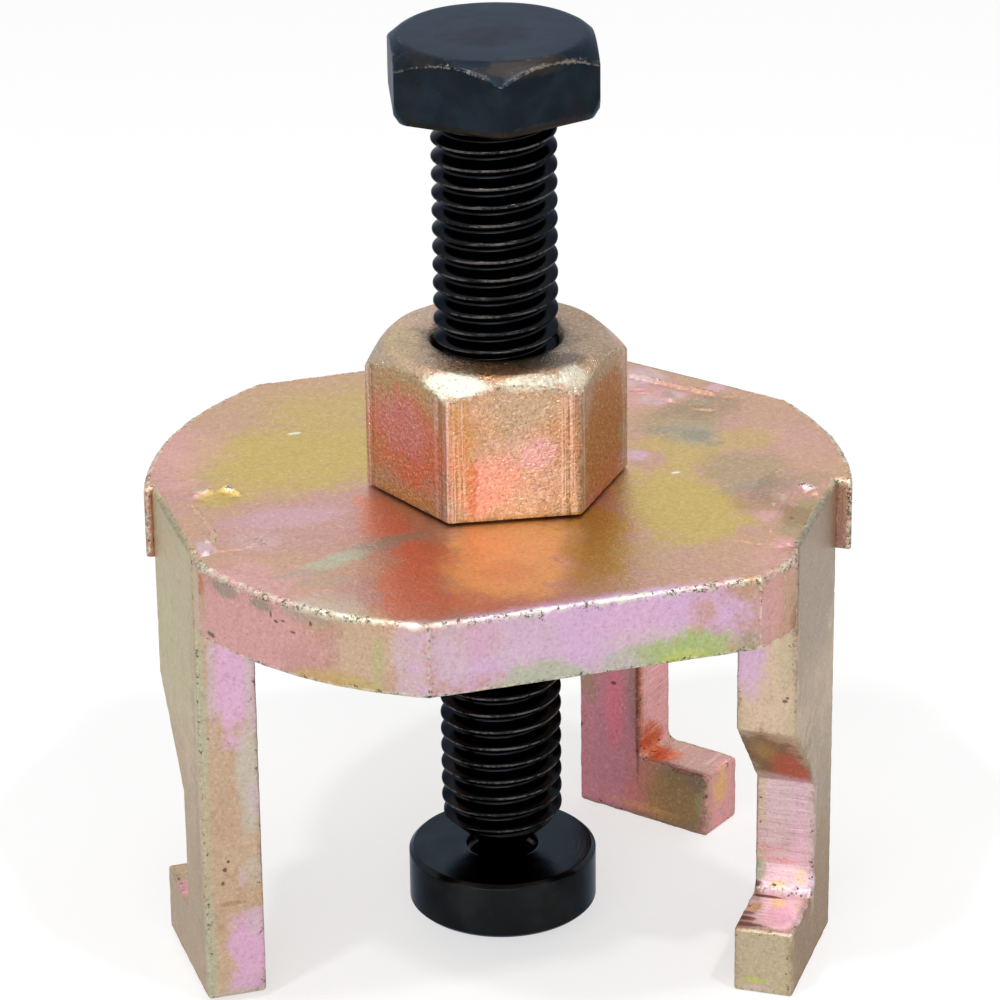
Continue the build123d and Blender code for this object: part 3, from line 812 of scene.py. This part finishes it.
# Seam welds: a bead round each jaw where it meets the plate's top, ground down nearly flush
# and plated over. A few ridges, dimples and a cold edge are left of each.
weld_spacing = 0.16
weld_reach = 8.1                # each way from the jaw's middle
weld_inner = 19.5
weld_thickness = 0.08
weld_root = 0.35
weld_skirt = 0.05               # how far its thin edge goes under the plate's top
weld_margin, weld_inner_margin = 0.5, 0.4    # bare points round the bead, at its ends and inside
worn_and_lit_from, worn_and_lit_to = 0.18, 0.36    # heights between which the ridge tops are coloured bright: rubbed plating and painted highlight
weld_marks = {
    # ridge from (along, out) to (along, out) in mm, half width, height
    "left": [
        (3.3, 20.5, 4.1, 21.4, 0.4, 0.32), (4.1, 21.4, 4.2, 22.6, 0.3, 0.14),
        (4.0, 22.9, 3.7, 24.0, 0.45, 0.26), (4.7, 24.4, 4.7, 26.2, 0.35, 0.10),
        (2.4, 20.6, 2.0, 22.8, 0.8, -0.07), (-5.2, 24.8, -3.8, 24.3, 0.22, -0.16),
        (-3.8, 24.3, -1.6, 24.2, 0.2, -0.16), (-1.6, 24.2, 1.6, 24.5, 0.2, -0.12),
        (-7.4, 25.8, -6.9, 25.7, 0.4, 0.16), (-5.5, 25.0, -5.1, 25.1, 0.3, 0.16),
        (-6.3, 25.3, -6.0, 25.8, 0.4, 0.10), (-6.0, 21.3, -5.8, 21.2, 0.3, -0.14),
        (-6.9, 21.1, -6.8, 21.1, 0.3, -0.12), (-6.6, 21.9, -5.4, 22.0, 0.3, 0.09),
        (-7.4, 22.2, -7.3, 22.2, 0.3, 0.14),
    ],
    "right": [
        (-4.2, 24.0, -3.4, 25.2, 0.5, 0.30), (-6.4, 25.4, -5.6, 25.6, 0.4, 0.20),
        (-4.0, 23.8, 5.0, 23.6, 0.3, 0.24), (-6.8, 21.4, -1.8, 20.1, 0.28, 0.22),
        (-7.3, 21.6, -7.2, 25.2, 0.35, 0.10), (-2.2, 22.9, 0.2, 22.3, 0.8, -0.08),
        (5.4, 22.2, 7.0, 24.0, 0.8, 0.06),
    ],
    "rear": [
        (-2.4, 23.0, 5.3, 23.35, 0.3, 0.30), (4.9, 25.2, 5.4, 24.2, 0.4, 0.16),
        (-0.6, 21.0, 1.4, 19.8, 0.35, 0.20), (2.2, 21.3, 3.6, 20.0, 0.35, 0.18),
        (5.9, 20.0, 7.0, 20.6, 0.3, 0.10), (5.3, 21.4, 5.5, 21.4, 0.7, -0.12),
    ],
}
weld_patches = {
    # the silver and rose spots on the bead's ridges are painted highlights
    "left": on_top(
        ("olive", -22.5, 2.3, 2.4, 1.6, 0.7), ("salmon", -25.4, -2, 1.0, 3, 0.6),
        ("blush", -24.5, 6.4, 2.4, 1.6, 0.6), ("silver_lilac", -25.6, -6.6, 0.9, 1.7, 0.7),
        ("silver_lilac", -25.8, -7.6, 0.5, 0.6, 0.7), ("silver", -25.1, -5.3, 0.3, 0.4, 0.7),
        ("silver", -20.9, 3.8, 0.6, 0.6, 0.6), ("silver_rose", -23.4, 4.0, 0.8, 0.5, 0.8),
        ("oil", -24.2, -2.7, 0.22, 1.6, 0.8), ("oil", -24.5, -4.5, 0.3, 0.7, 0.8),
        ("oil", -24.4, 0.4, 0.22, 1.9, 0.5), ("oil", -21.2, -5.9, 0.28, 0.45, 0.8),
        ("oil", -21.1, -6.9, 0.24, 0.3, 0.7)
    ),
    # the bright rose and silver spots on the ridges are painted highlights
    "right": on_top(
        ("umber", 20, -8.8, 2.4, 2.4, 0.5), ("umber", 18.2, -10.6, 1.8, 1.8, 0.5),
        ("moss", 23.2, -8.6, 1.8, 1.8, 0.5), ("moss", 21.4, -13.4, 1.6, 1.6, 0.95),
        ("moss", 20.4, -14.9, 1.7, 1.7, 0.95), ("moss", 19.4, -16.4, 1.7, 1.7, 0.95),
        ("moss", 18.4, -17.7, 1.5, 1.5, 0.8), ("cocoa", 20, -15.4, 2.2, 2.6, 0.5),
        ("blush", 17.6, -14.4, 1.3, 1.5, 0.8), ("blush", 17, -19.8, 1.4, 1.4, 0.8),
        ("pink", 15, -16.7, 1.0, 1.0, 0.6), ("bright_rose", 22.5, -10.7, 0.7, 0.7, 0.8),
        ("silver", 25.2, -9.6, 0.6, 0.6, 0.5), ("oil", 19.2, -15.4, 0.25, 0.25, 0.8)
    ),
    "rear": on_top(
        ("salmon", 20.5, 15, 4, 4, 0.6), ("silver_lilac", 17.3, 15.6, 2.5, 2.5, 0.6),
        ("blush", 16.6, 11.4, 2.2, 2.2, 0.7), ("grey", 18.3, 11.0, 0.7, 0.9, 0.5),
        ("grey_green", 20.3, 9.0, 1.1, 1.1, 0.6), ("magenta", 22.4, 11.2, 1.0, 1.0, 0.6)
    ),
}


def smooth_step(value, low, high):
    share = min(1.0, max(0.0, (value - low) / (high - low)))
    return share * share * (3 - 2 * share)


def weld_height(along, out, weld_outer, marks, seed):
    """Height of the ground bead over the plate's top, mm; below it outside the bead."""
    waver = 0.9 * uneven((along, out), 0.45, seed) + 0.35 * uneven((along, out), 1.6, seed + 4)
    inside = min(smooth_step(weld_reach - abs(along) + waver - weld_margin, 0, 0.9),
                 smooth_step(out - weld_inner + waver - weld_inner_margin, 0, 0.9),
                 smooth_step(weld_outer - out, 0, 0.35))
    height = weld_thickness + 0.09 * uneven((along, out), 0.7, seed + 8)
    height += 0.03 * uneven((along, out), 2.6, seed + 9)
    for a0, o0, a1, o1, half_width, rise in marks:
        run = Vector((a1 - a0, o1 - o0))
        share = min(1.0, max(0.0, Vector((along - a0, out - o0)).dot(run) / run.length_squared))
        away = math.hypot(along - a0 - run.x * share, out - o0 - run.y * share)
        away *= 1 + 0.5 * uneven((along, out), 1.1, seed + 12)
        height += rise * math.exp(-(away / half_width) ** 2)
    return height * inside - weld_skirt * (1 - inside)


for side, marks in weld_marks.items():
    radial, hookward = jaw_directions[side]
    weld_outer = jaw_reach[side] - jaw_top_grind
    seed = 30.0 + len(side) * 3
    columns = int(2 * (weld_reach + weld_margin) / weld_spacing)
    lines = int((weld_outer + 0.2 - weld_inner + weld_inner_margin) / weld_spacing)
    vertices, shine = [], []
    for low in (False, True):
        for k in range(lines + 1):
            for i in range(columns + 1):
                along = -weld_reach - weld_margin + i * weld_spacing
                out = weld_inner - weld_inner_margin + k * weld_spacing
                height = -weld_root if low else weld_height(along, out, weld_outer, marks, seed)
                level = Vector((0, 0, plate_high.z + height * MM))
                vertices.append(hookward * along * MM + radial * out * MM + level)
                # ridge tops go into the edge mark that the finish colours bright: partly rubbed plating,
                # partly painted highlight
                shine.append(smooth_step(height, worn_and_lit_from, worn_and_lit_to))
    faces = []
    row = columns + 1
    layer = row * (lines + 1)
    for k in range(lines):
        for i in range(columns):
            a = k * row + i
            faces.append((a, a + 1, a + row + 1, a + row))
            faces.append((layer + a + row, layer + a + row + 1, layer + a + 1, layer + a))
    rim = (list(range(columns)) + [k * row + columns for k in range(lines)]
           + [lines * row + i for i in range(columns, 0, -1)] + [k * row for k in range(lines, 0, -1)])
    for a, b in zip(rim, rim[1:] + rim[:1]):
        faces.append((a, layer + a, layer + b, b))
    weld = finish_mesh(side + "_seam_weld", vertices, faces, shine)
    film = zinc_finish(side + "_weld_film", "salmon", "pink", top_patches + weld_patches[side],
                       polish=0.34, flecks=1.0)
    weld.data.materials.append(film)
    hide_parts(side + "_jaw_weld")
    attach(weld, "frame")


# Hub nut: hexagon bar with a turned top, screwed bore and a spigot through the plate.
# Blasted and zinc plated; the drawn bar's lines stay near the corners of its faces.
hub_corner_round = 0.35
hub_base_gap = 0.14
hub_low, hub_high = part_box("hub_nut")
hub_across = 18.2
hub_turn = -8.9
hub_top_circle = 17.0
hub_chamfer_slope = 1.85 / (hub_across / math.sqrt(3) - hub_top_circle / 2)
hub_bore = 4.965
hub_countersink = 0.5
spigot_radius = 7.0


def hexagon_outline(width, first_corner, corner_round, spacing):
    """Points round a hexagon, in mm, with one corner in the given direction in degrees."""
    reach = width / math.sqrt(3)
    corners = []
    for k in range(6):
        a = math.radians(first_corner + 60 * k)
        corners.append(Vector((math.cos(a), math.sin(a))) * reach)
    return even_outline(corners, spacing, corner_round, 20)


def skin(name, rings, closed=False):
    """A shell through rings of points in mm with a mark each; closed joins the last to the first."""
    count = len(rings[0][0])
    vertices, marks, faces = [], [], []
    for ring, mark in rings:
        vertices += [Vector(point) * MM for point in ring]
        marks += mark if isinstance(mark, list) else [mark] * count
    for k in range(len(rings) if closed else len(rings) - 1):
        faces += faces_between(k * count, (k + 1) % len(rings) * count, count)
    if not closed:
        faces.append(list(range(count))[::-1])
        faces.append(list(range(len(vertices) - count, len(vertices))))
    return finish_mesh(name, vertices, faces, marks)


def hexagon_marks(outline):
    """How near each point of a hexagon outline is to a corner, 1 at the corner."""
    reach = max(p.length for p in outline)
    flat = min(p.length for p in outline)
    return [max(0.0, 1 - (reach - p.length) / (reach - flat) * 3.2) for p in outline]


hub_outline = hexagon_outline(hub_across, hub_turn, hub_corner_round, 0.45)
hub_corners = hexagon_marks(hub_outline)
hub_bottom, hub_base, hub_top = hub_low.z / MM, plate_high.z / MM, hub_high.z / MM
hub_foot = hub_base + hub_base_gap


def circle_of(outline, radius, height):
    """Ring of points on a circle, in the directions of an outline's points."""
    return [(p.x / p.length * radius, p.y / p.length * radius, height) for p in outline]


def crest_height(point, top, circle, slope):
    """Height where a hexagon's side meets the turned cone above it."""
    return top - max(0.0, point.length - circle / 2) * slope


def cone_ring(outline, share, top, circle, slope, inset=0.0):
    """Ring part of the way from the top circle, share 0, to the meeting line with the sides, 1."""
    ring = []
    for p in outline:
        radius = circle / 2 + (p.length - circle / 2) * share
        height = top - (p.length - circle / 2) * slope * share - inset
        ring.append((p.x / p.length * (radius - inset), p.y / p.length * (radius - inset), height))
    return ring


def side_ring(outline, foot_of, top_of, share, inset=0.0):
    """Ring on a hexagon's sides, share 0 at the height that foot_of gives and 1 at top_of's."""
    ring = []
    for p in outline:
        q = p * (1 - inset / p.length)
        foot = foot_of(p)
        ring.append((q.x, q.y, foot + (top_of(p) - foot) * share))
    return ring


hub_cone = (hub_top, hub_top_circle, hub_chamfer_slope)


def hub_side_top(point):
    return crest_height(point, *hub_cone) - 0.12


def hub_side_foot(point):
    return hub_foot + 0.1


hub_rings = [
    (circle_of(hub_outline, hub_bore, hub_bottom + hub_countersink), 0.0),
    (circle_of(hub_outline, hub_bore + hub_countersink, hub_bottom), 0.4),
    (circle_of(hub_outline, spigot_radius, hub_bottom), 0.6),
    (circle_of(hub_outline, spigot_radius, hub_foot), 0.0),
    (side_ring(hub_outline, lambda p: hub_foot, hub_side_top, 0, 0.16), 0.5),
    (side_ring(hub_outline, hub_side_foot, hub_side_top, 0), 1.0),
]
for share in (0.03, 0.1, 0.3, 0.6, 0.9, 0.97, 1.0):
    near_end = max(0.0, 1 - min(share, 1 - share) * 9)
    marks = [max(near_end, c) for c in hub_corners]
    hub_rings.append((side_ring(hub_outline, hub_side_foot, hub_side_top, share), marks))
hub_rings.append((cone_ring(hub_outline, 1.0, *hub_cone, 0.04), 1.0))
for share in (0.9, 0.7, 0.4, 0.12):
    hub_rings.append((cone_ring(hub_outline, share, *hub_cone), 0.45))
hub_rings += [
    (circle_of(hub_outline, hub_top_circle / 2 - 0.1, hub_top - 0.03), 0.6),
    (circle_of(hub_outline, hub_top_circle / 2 - 0.35, hub_top), 0.4),
    (circle_of(hub_outline, 7.0, hub_top), 0.0),
    (circle_of(hub_outline, 6.0, hub_top), 0.0),
    (circle_of(hub_outline, hub_bore + hub_countersink, hub_top), 0.0),
    (circle_of(hub_outline, hub_bore, hub_top - hub_countersink), 0.0),
]
hub_nut = skin("hub_nut_hexagon", hub_rings, closed=True)


def near_hub_corners(flat):
    """Where the drawn bar's lines show: beside the corners of the hexagon."""
    out = flat.from_axis()
    return out.step(9.72, 9.98) * flat.axis("Z").step(hub_top - 1.2, hub_top - 2.0) * 2.3


hub_patches = [
    ("ash", (-1.4, -9, 47.5), (7, 1.4, 2.4), 0.3), ("silver_rose", (-1, -9, 41.6), (6, 1.4, 4.5), 0.5),
    ("coral", (-2.6, -9, 41.5), (2.6, 1.4, 3), 0.5), ("magenta", (0.4, -9.2, 43.4), (1.8, 1.4, 1.6), 0.5),
    ("coral", (-4.4, -8.8, 40.5), (1.6, 1.4, 3.4), 0.5), ("rust", (-4.7, -8.8, 40.5), (0.5, 1.2, 3), 0.5),
    ("bronze", (-5.6, -8.5, 44.5), (1.3, 1.2, 5.5), 0.45),
    ("honey", (-8.5, -3.3, 47.5), (5, 5.6, 2.6), 0.6),
    ("red_copper", (-8.5, -3.6, 43.4), (6, 6.4, 5.2), 1.0),
    ("rose", (-8.7, -2.8, 44.4), (3.4, 4.0, 3.4), 0.55),
    ("bronze", (-8.6, -3.3, hub_base + 0.2), (4.5, 5.6, 1.8), 0.6),
    ("chestnut", (7.1, -5.7, 43), (5.4, 5.6, 8), 1.0),
    ("rust", (7.1, -5.7, hub_base + 0.4), (5, 5.4, 2.4), 0.6),
    ("drab", (7.1, -5.7, 48.8), (5, 5.4, 1.4), 0.7),
    *on_face(2, hub_top,
             ("umber", 5, -1, 8, 10, 0.8, 0.7), ("biscuit", -7, 0, 5, 9, 0.8, 0.6),
             ("cocoa", 6.5, 3, 5, 7, 0.8, 0.35), ("olive", -7.5, 1, 3, 4, 0.8, 0.3),
             ("chestnut", -2, -7, 6, 2.6, 0.6, 0.6), ("oil", 0, 0, 7.4, 7.4, 0.6, 0.9),
             ("oil", 2.0, -6.4, 4.2, 2.0, 0.6, 0.85)),
    # painted highlight: silver on the chamfer where the lamps' highlights fall, front left and front right,
    # partly worn plating
    ("silver", (-5.6, -7.2, hub_top - 0.75), (3.4, 2.8, 1.0), 1.0),
    ("silver", (0, -9.0, hub_top - 0.6), (3.2, 1.3, 0.8), 0.5),
    ("silver", (3.6, -8.4, hub_top - 0.7), (1.7, 1.5, 0.9), 0.5),
]
drawing = (2.3, 2.3, 0.035)
hub_nut.data.materials.append(zinc_finish("hub_zinc_film", "clay", "salmon", hub_patches, grain=2.0,
                                          polish=0.28, bare=0.9, glints=0.5, lines=drawing,
                                          lined=near_hub_corners))
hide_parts("hub_nut")
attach(hub_nut, "frame")


# Hub weld: one bead round the spigot under the plate, left as laid, with its ripples showing.
# It is plated with the rest.
bead_ripples = 34
bead_ripple_height = 0.10


def turned_profile(node, corner_round, spacing):
    """Half of a round CAD node's section, as (radius, height) points in mm, its corners rounded."""
    loops = section_loops(node, (0, 0, 0), (0, 1, 0), lambda p: Vector((p.x, p.z)) / MM)
    loop = max(loops, key=lambda points: max(p.x for p in points))
    half = []
    for here, after in zip(loop, loop[1:] + loop[:1]):
        if here.x >= 0:
            half.append(here)
        if (here.x < 0) != (after.x < 0):
            half.append(here.lerp(after, here.x / (here.x - after.x)))
    return even_outline(half, spacing, corner_round, 20)


def lathe(name, profile, columns, swell=None):
    """A turned piece from its profile; swell moves a point out, in mm, at an angle in radians."""
    vertices, faces, marks = [], [], []
    count = len(profile)
    for k in range(columns):
        angle = 2 * math.pi * k / columns
        for i, p in enumerate(profile):
            radius = max(0.0, p.x + (swell(p, angle) if swell else 0))
            vertices.append(Vector((radius * math.cos(angle), radius * math.sin(angle), p.y)) * MM)
            marks.append(min(1.0, abs(turning(profile[i - 1], p, profile[(i + 1) % count])) / 12))
    for k in range(columns):
        for i in range(count):
            a, b = k * count, (k + 1) % columns * count
            j = (i + 1) % count
            if profile[i].x > 1e-4 or profile[j].x > 1e-4:
                faces.append((a + i, a + j, b + j, b + i))
    return finish_mesh(name, vertices, faces, marks)


def ripple(point, angle):
    """Overlapping ripples on the outer side of the bead."""
    phase = (angle * bead_ripples / (2 * math.pi) + 0.3 * uneven((angle, 0), 1.3, 60)) % 1
    return bead_ripple_height * (phase - 0.6) if point.x > spigot_radius + 0.35 else 0.0


hub_bead = lathe("hub_weld_bead", turned_profile("hub_weld", 0.12, 0.2), 272, ripple)
hub_bead.data.materials.append(zinc_finish("hub_weld_film", "pink", "olive", [], polish=0.34, wear=2))
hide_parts("hub_weld")
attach(hub_bead, "frame")


# Forcing screw: an M10 x 1.5 hexagon screw, black and oiled. The thread is rolled, with
# rounded crests; the head is turned on top and drawn in at its lower corners.
thread_pitch = 1.5
thread_radius = 4.925
thread_depth = 0.88
thread_start = -0.16            # height of a crest in the +X direction, mm
thread_columns = 96
head_across = 15.8
head_turn = 17.0
head_height = 5.8
head_top_circle = 14.8
head_chamfer = 1.5
head_low_chamfer = (0.5, 1.9)   # drawn in at the corners: by, over
head_bevel = (0.42, 0.65)       # and all round
head_corner_round = 0.5
collar_length = 0.9
point_foot, point_height = 5.2, 3.1
neck_radius = 1.8
button_radius, button_foot, button_height, button_chamfer = 2.8, 1.6, 1.7, 0.7
head_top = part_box("forcing_screw")[1].z / MM
head_foot = head_top - head_height

# one pitch of the thread, from crest to crest: (share of the pitch, share of the depth)
thread_form = [
    (0.00, 0.0), (0.05, 0.01), (0.09, 0.06), (0.13, 0.16), (0.25, 0.5), (0.36, 0.84), (0.40, 0.93),
    (0.45, 0.985), (0.50, 1.0), (0.55, 0.985), (0.60, 0.93), (0.64, 0.84), (0.75, 0.5), (0.87, 0.16),
    (0.91, 0.06), (0.95, 0.01),
]


def shank_radius(height, share):
    """Radius of the screw at a height and a share of the thread's depth."""
    fade = min(1.0, max(0.0, (head_foot - collar_length - height) / thread_pitch + 0.35))
    threaded = thread_radius - thread_depth * share * fade
    pointed = neck_radius + max(0.0, height - point_foot) * (thread_radius - neck_radius) / point_height
    return min(threaded, pointed)


def turned_points(radius, height):
    """Points in metres round the screw's axis, at a radius and height in mm."""
    angles = [2 * math.pi * k / thread_columns for k in range(thread_columns)]
    return [Vector((radius * math.cos(a), radius * math.sin(a), height)) * MM for a in angles]


steps = math.ceil((head_foot - point_foot) / thread_pitch) + 3
lowest_turn = math.floor((point_foot - thread_start) / thread_pitch) - 1
vertices, faces, crests = [], [], []
rows_of_form = len(thread_form)
for step in range((steps + 1) * thread_columns + 1):
    angle = 2 * math.pi * step / thread_columns
    for share, depth in thread_form:
        height = thread_start + thread_pitch * (lowest_turn + step / thread_columns + share)
        height = min(max(height, point_foot), head_foot + 0.05)
        radius = shank_radius(height, depth)
        vertices.append(Vector((radius * math.cos(angle), radius * math.sin(angle), height)) * MM)
        # crests marked for the steel colour: worn crests, and partly a painted highlight along them
        crests.append(1.0 if depth < 0.02 else 0.0)
for step in range((steps + 1) * thread_columns):
    for k in range(rows_of_form):
        a, b = step * rows_of_form + k, (step + 1) * rows_of_form + k
        if k + 1 < rows_of_form:
            faces.append((a, b, b + 1, a + 1))
        elif step + thread_columns + 1 <= (steps + 1) * thread_columns:
            above = (step + thread_columns) * rows_of_form
            faces.append((a, b, above + rows_of_form, above))
button_profile = [
    (neck_radius, point_foot), (neck_radius, button_foot + button_height),
    (button_radius, button_foot + button_height), (button_radius, button_foot + button_chamfer),
    (button_radius - button_chamfer, button_foot), (0.01, button_foot),
]
for k, (radius, height) in enumerate(button_profile):
    first = len(vertices)
    vertices += turned_points(radius, height)
    if k:
        faces += faces_between(first, first - thread_columns, thread_columns, inside=True)
faces.append(list(range(len(vertices) - thread_columns, len(vertices))))
vertices += turned_points(thread_radius, head_foot + 0.05)
faces.append(list(range(len(vertices) - thread_columns, len(vertices))))
crests += [0.0] * (len(vertices) - len(crests))
screw = finish_mesh("screw_shank", vertices, faces, crests)

head_outline = hexagon_outline(head_across, head_turn, head_corner_round, 0.45)
head_corners = hexagon_marks(head_outline)
head_reach = head_across / math.sqrt(3)
head_cone = (head_top, head_top_circle, head_chamfer / (head_reach - head_top_circle / 2))


def head_side_top(point):
    return crest_height(point, *head_cone) - 0.1


def head_side_foot(point):
    cut, rise = head_low_chamfer
    return head_foot + head_bevel[1] + max(0.0, point.length - (head_reach - cut * 0.7)) * rise / cut


head_rings = [(circle_of(head_outline, 4.0, head_foot), 0.0)]
bevel_in, bevel_up = head_bevel
for inset, height, mark in ((bevel_in + 0.10, 0.0, 0.3), (bevel_in - 0.02, 0.03, 0.6),
                            (bevel_in * 0.5, bevel_up * 0.5, 0.62), (0.03, bevel_up * 0.93, 0.6)):
    drawn_in = head_reach - head_low_chamfer[0] * (1 - height / head_low_chamfer[1]) - inset * 0.4
    ring = []
    for p in head_outline:
        k = min(1 - inset / p.length, drawn_in / p.length)
        ring.append((p.x * k, p.y * k, head_foot + height))
    head_rings.append((ring, mark))
for share in (0, 0.04, 0.12, 0.5, 0.88, 0.96, 1):
    near_end = max(0.0, 1 - (1 - share) * 9, 0.5 - share * 5)
    marks = [max(near_end, c * 0.5) for c in head_corners]
    head_rings.append((side_ring(head_outline, head_side_foot, head_side_top, share), marks))
head_rings.append((cone_ring(head_outline, 1.0, *head_cone, 0.03), 0.96))
for share, mark in ((0.9, 0.84), (0.7, 0.74), (0.4, 0.66), (0.12, 0.66)):
    head_rings.append((cone_ring(head_outline, share, *head_cone), mark))
head_rings += [
    (circle_of(head_outline, head_top_circle / 2 - 0.1, head_top - 0.025), 0.8),
    (circle_of(head_outline, head_top_circle / 2 - 0.4, head_top), 0.4),
    (circle_of(head_outline, 5.0, head_top), 0.0),
    (circle_of(head_outline, 1.0, head_top), 0.0),
]
screw_head = skin("screw_head", head_rings)
black_bumps = 0.02
brown_oil = (0.030, 0.019, 0.012, 1)
dust = (0.07, 0.075, 0.08, 1)


def black_finish(name, colour, polish, stains=(), brown=0.4, turned=0.0, wear=0.9,
                 steel=(0.13, 0.11, 0.09, 1), sheen=(0.48, 0.49, 0.52, 1)):
    """Black oxide on steel, oiled. polish is its roughness, stains patches of (colour, centre,
    size in mm, strength), brown how much the oil has tinted it, turned the depth of the lathe's
    lines, wear the edge mark where steel starts to show and sheen its tint at a flat angle. steel
    is the colour at worn edges; on the thread's crests it is also a painted highlight."""
    material, start = new_material(name)
    place = start.place()
    lighter = tuple(c * 1.7 for c in colour[:3]) + (1,)
    base = place.noise(0.3, 4).step(0.4, 0.75).between(colour, lighter)
    base = base.blend(brown_oil, place.noise(0.33, 4, 0.65).step(0.50, 0.72) * brown)
    ragged = place.noise(0.7, 4, 0.7) * 1.3 - 0.65 + place.noise(3.0, 3, 0.75) * 0.8 - 0.4
    for stain, centre, size, strength in stains:
        base = base.blend(stain, place.patch(centre, size, ragged) * strength)
    base = base.blend(dust, place.noise(3.6, 2, 0.7).step(0.66, 0.76) * 0.35)
    chance = (place.noise(2.6, 4, 0.85) - 0.5) * 1.3 + (place.noise(0.38, 2) - 0.5) * 0.9
    worn = (start.edge() + chance).step(wear, wear + 0.22)
    base = base.blend(steel, worn * 0.8)
    height = place.noise(4.2, 3, 0.7) * 0.5 + place.noise(0.6, 2) * 0.5
    if turned:
        along = start.node("CombineXYZ", inputs={0: place.from_axis() * 2.2, 1: place.axis("Z") * 1.6})
        height = height + along.noise(1.0, 4, 0.8) * turned
    roughness = polish + (place.noise(0.7, 3) - 0.5) * 0.14 + worn * 0.06
    metal_surface(start, base, roughness, height, black_bumps, sheen)
    return material


scuffed = (0.060, 0.048, 0.040, 1)
oily_brown = (0.018, 0.012, 0.010, 1)
dust_and_top_sheen = (0.034, 0.036, 0.040, 1)
head_stains = [
    # lighter over the whole top face: dust, and a painted sheen of the top as it catches the light
    (dust_and_top_sheen, (0, 0, head_top), (9.5, 9.5, 0.5), 0.5),
    (oily_brown, (-0.6, -0.8, head_top), (4.2, 2.6, 1), 0.85),
    (scuffed, (0.3, -7.3, head_top - 0.5), (4.4, 2.2, 0.9), 0.5),
    (scuffed, (-6.5, -3.2, head_top - 0.5), (1.6, 2.6, 0.8), 0.3),
    (scuffed, (1.5, -7.5, head_foot + 0.1), (8, 3, 0.8), 0.45),
]
collar_stains = [(scuffed, (0, 0, head_foot - 0.3), (6, 6, 1.0), 0.6)]
thread_oxide = (0.011, 0.0125, 0.0145, 1)
# the steel colour on the crests is partly wear and partly a painted highlight
screw.data.materials.append(black_finish("thread_black", thread_oxide, 0.15, collar_stains, 0.3,
                                         steel=(0.13, 0.13, 0.13, 1)))
head_oxide = (0.013, 0.019, 0.026, 1)
screw_head.data.materials.append(black_finish("head_black", head_oxide, 0.34, head_stains, 0.35,
                                              steel=(0.26, 0.23, 0.20, 1), sheen=(0.61, 0.67, 0.77, 1)))
for piece in (screw, screw_head):
    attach(piece, "screw")
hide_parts("forcing_screw")


# Pressure pad: a turned steel disc that swivels on the screw's button, blacked like the screw.
# Its working face and edge keep the lathe's lines.
pad = lathe("pad_disc", turned_profile("pressure_pad", 0.12, 0.3), 180)
pad_oxide = (0.0135, 0.0155, 0.0168, 1)
pad.data.materials.append(black_finish("pad_black_oxide", pad_oxide, 0.17, (), 0.2, turned=0.5, wear=1.25,
                                       sheen=(0.65, 0.72, 0.82, 1)))
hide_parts("pressure_pad")
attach(pad, "pad")


# Snap ring: round spring wire, sprung into the pad's groove above the button to hold it in.
# It is blued steel, open at one side.
ring_node = frame["nodes"]["pad_snap_ring"].data
ring_low, ring_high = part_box("pad_snap_ring")
wire_radius = (ring_high.z - ring_low.z) / 2 / MM
wire_height = (ring_high.z + ring_low.z) / 2 / MM
wire_sides = 16
reaches = [math.hypot(v.co.x, v.co.y) / MM for v in ring_node.vertices]
ring_radius = (max(reaches) + min(reaches)) / 2
bearings = sorted(math.atan2(v.co.y, v.co.x) for v in ring_node.vertices)
gaps = [(b - a, b) for a, b in zip(bearings, bearings[1:] + [bearings[0] + 2 * math.pi])]
opening, ring_start = max(gaps)
steps = 72
vertices, faces = [], []
for k in range(-2, steps + 3):
    share = min(1.0, max(0.0, k / steps))
    angle = ring_start + (2 * math.pi - opening) * share
    over = {-2: 0.0, -1: 0.75, steps + 1: 0.75, steps + 2: 0.0}.get(k, 1.0)
    for i in range(wire_sides):
        a = 2 * math.pi * i / wire_sides
        radius = ring_radius + wire_radius * over * math.cos(a)
        vertices.append(Vector((radius * math.cos(angle), radius * math.sin(angle),
                                wire_height + wire_radius * over * math.sin(a))) * MM)
for k in range(steps + 4):
    for i in range(wire_sides):
        j = (i + 1) % wire_sides
        a, b = k * wire_sides, (k + 1) * wire_sides
        faces.append((a + i, b + i, b + j, a + j))
ring = finish_mesh("snap_ring_wire", vertices, faces, [0.0] * len(vertices))
blued, worn_blue = (0.035, 0.037, 0.042, 1), (0.06, 0.055, 0.05, 1)
wire_bumps = 0.01
material, start = new_material("spring_steel_wire")
place = start.place()
drawn = place.noise(3.0, 3, 0.6)
colour = place.noise(1.2, 3).step(0.4, 0.7).between(blued, worn_blue)
metal_surface(start, colour, 0.28 + drawn * 0.12, drawn, wire_bumps)
ring.data.materials.append(material)
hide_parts("pad_snap_ring")
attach(ring, "thrust")
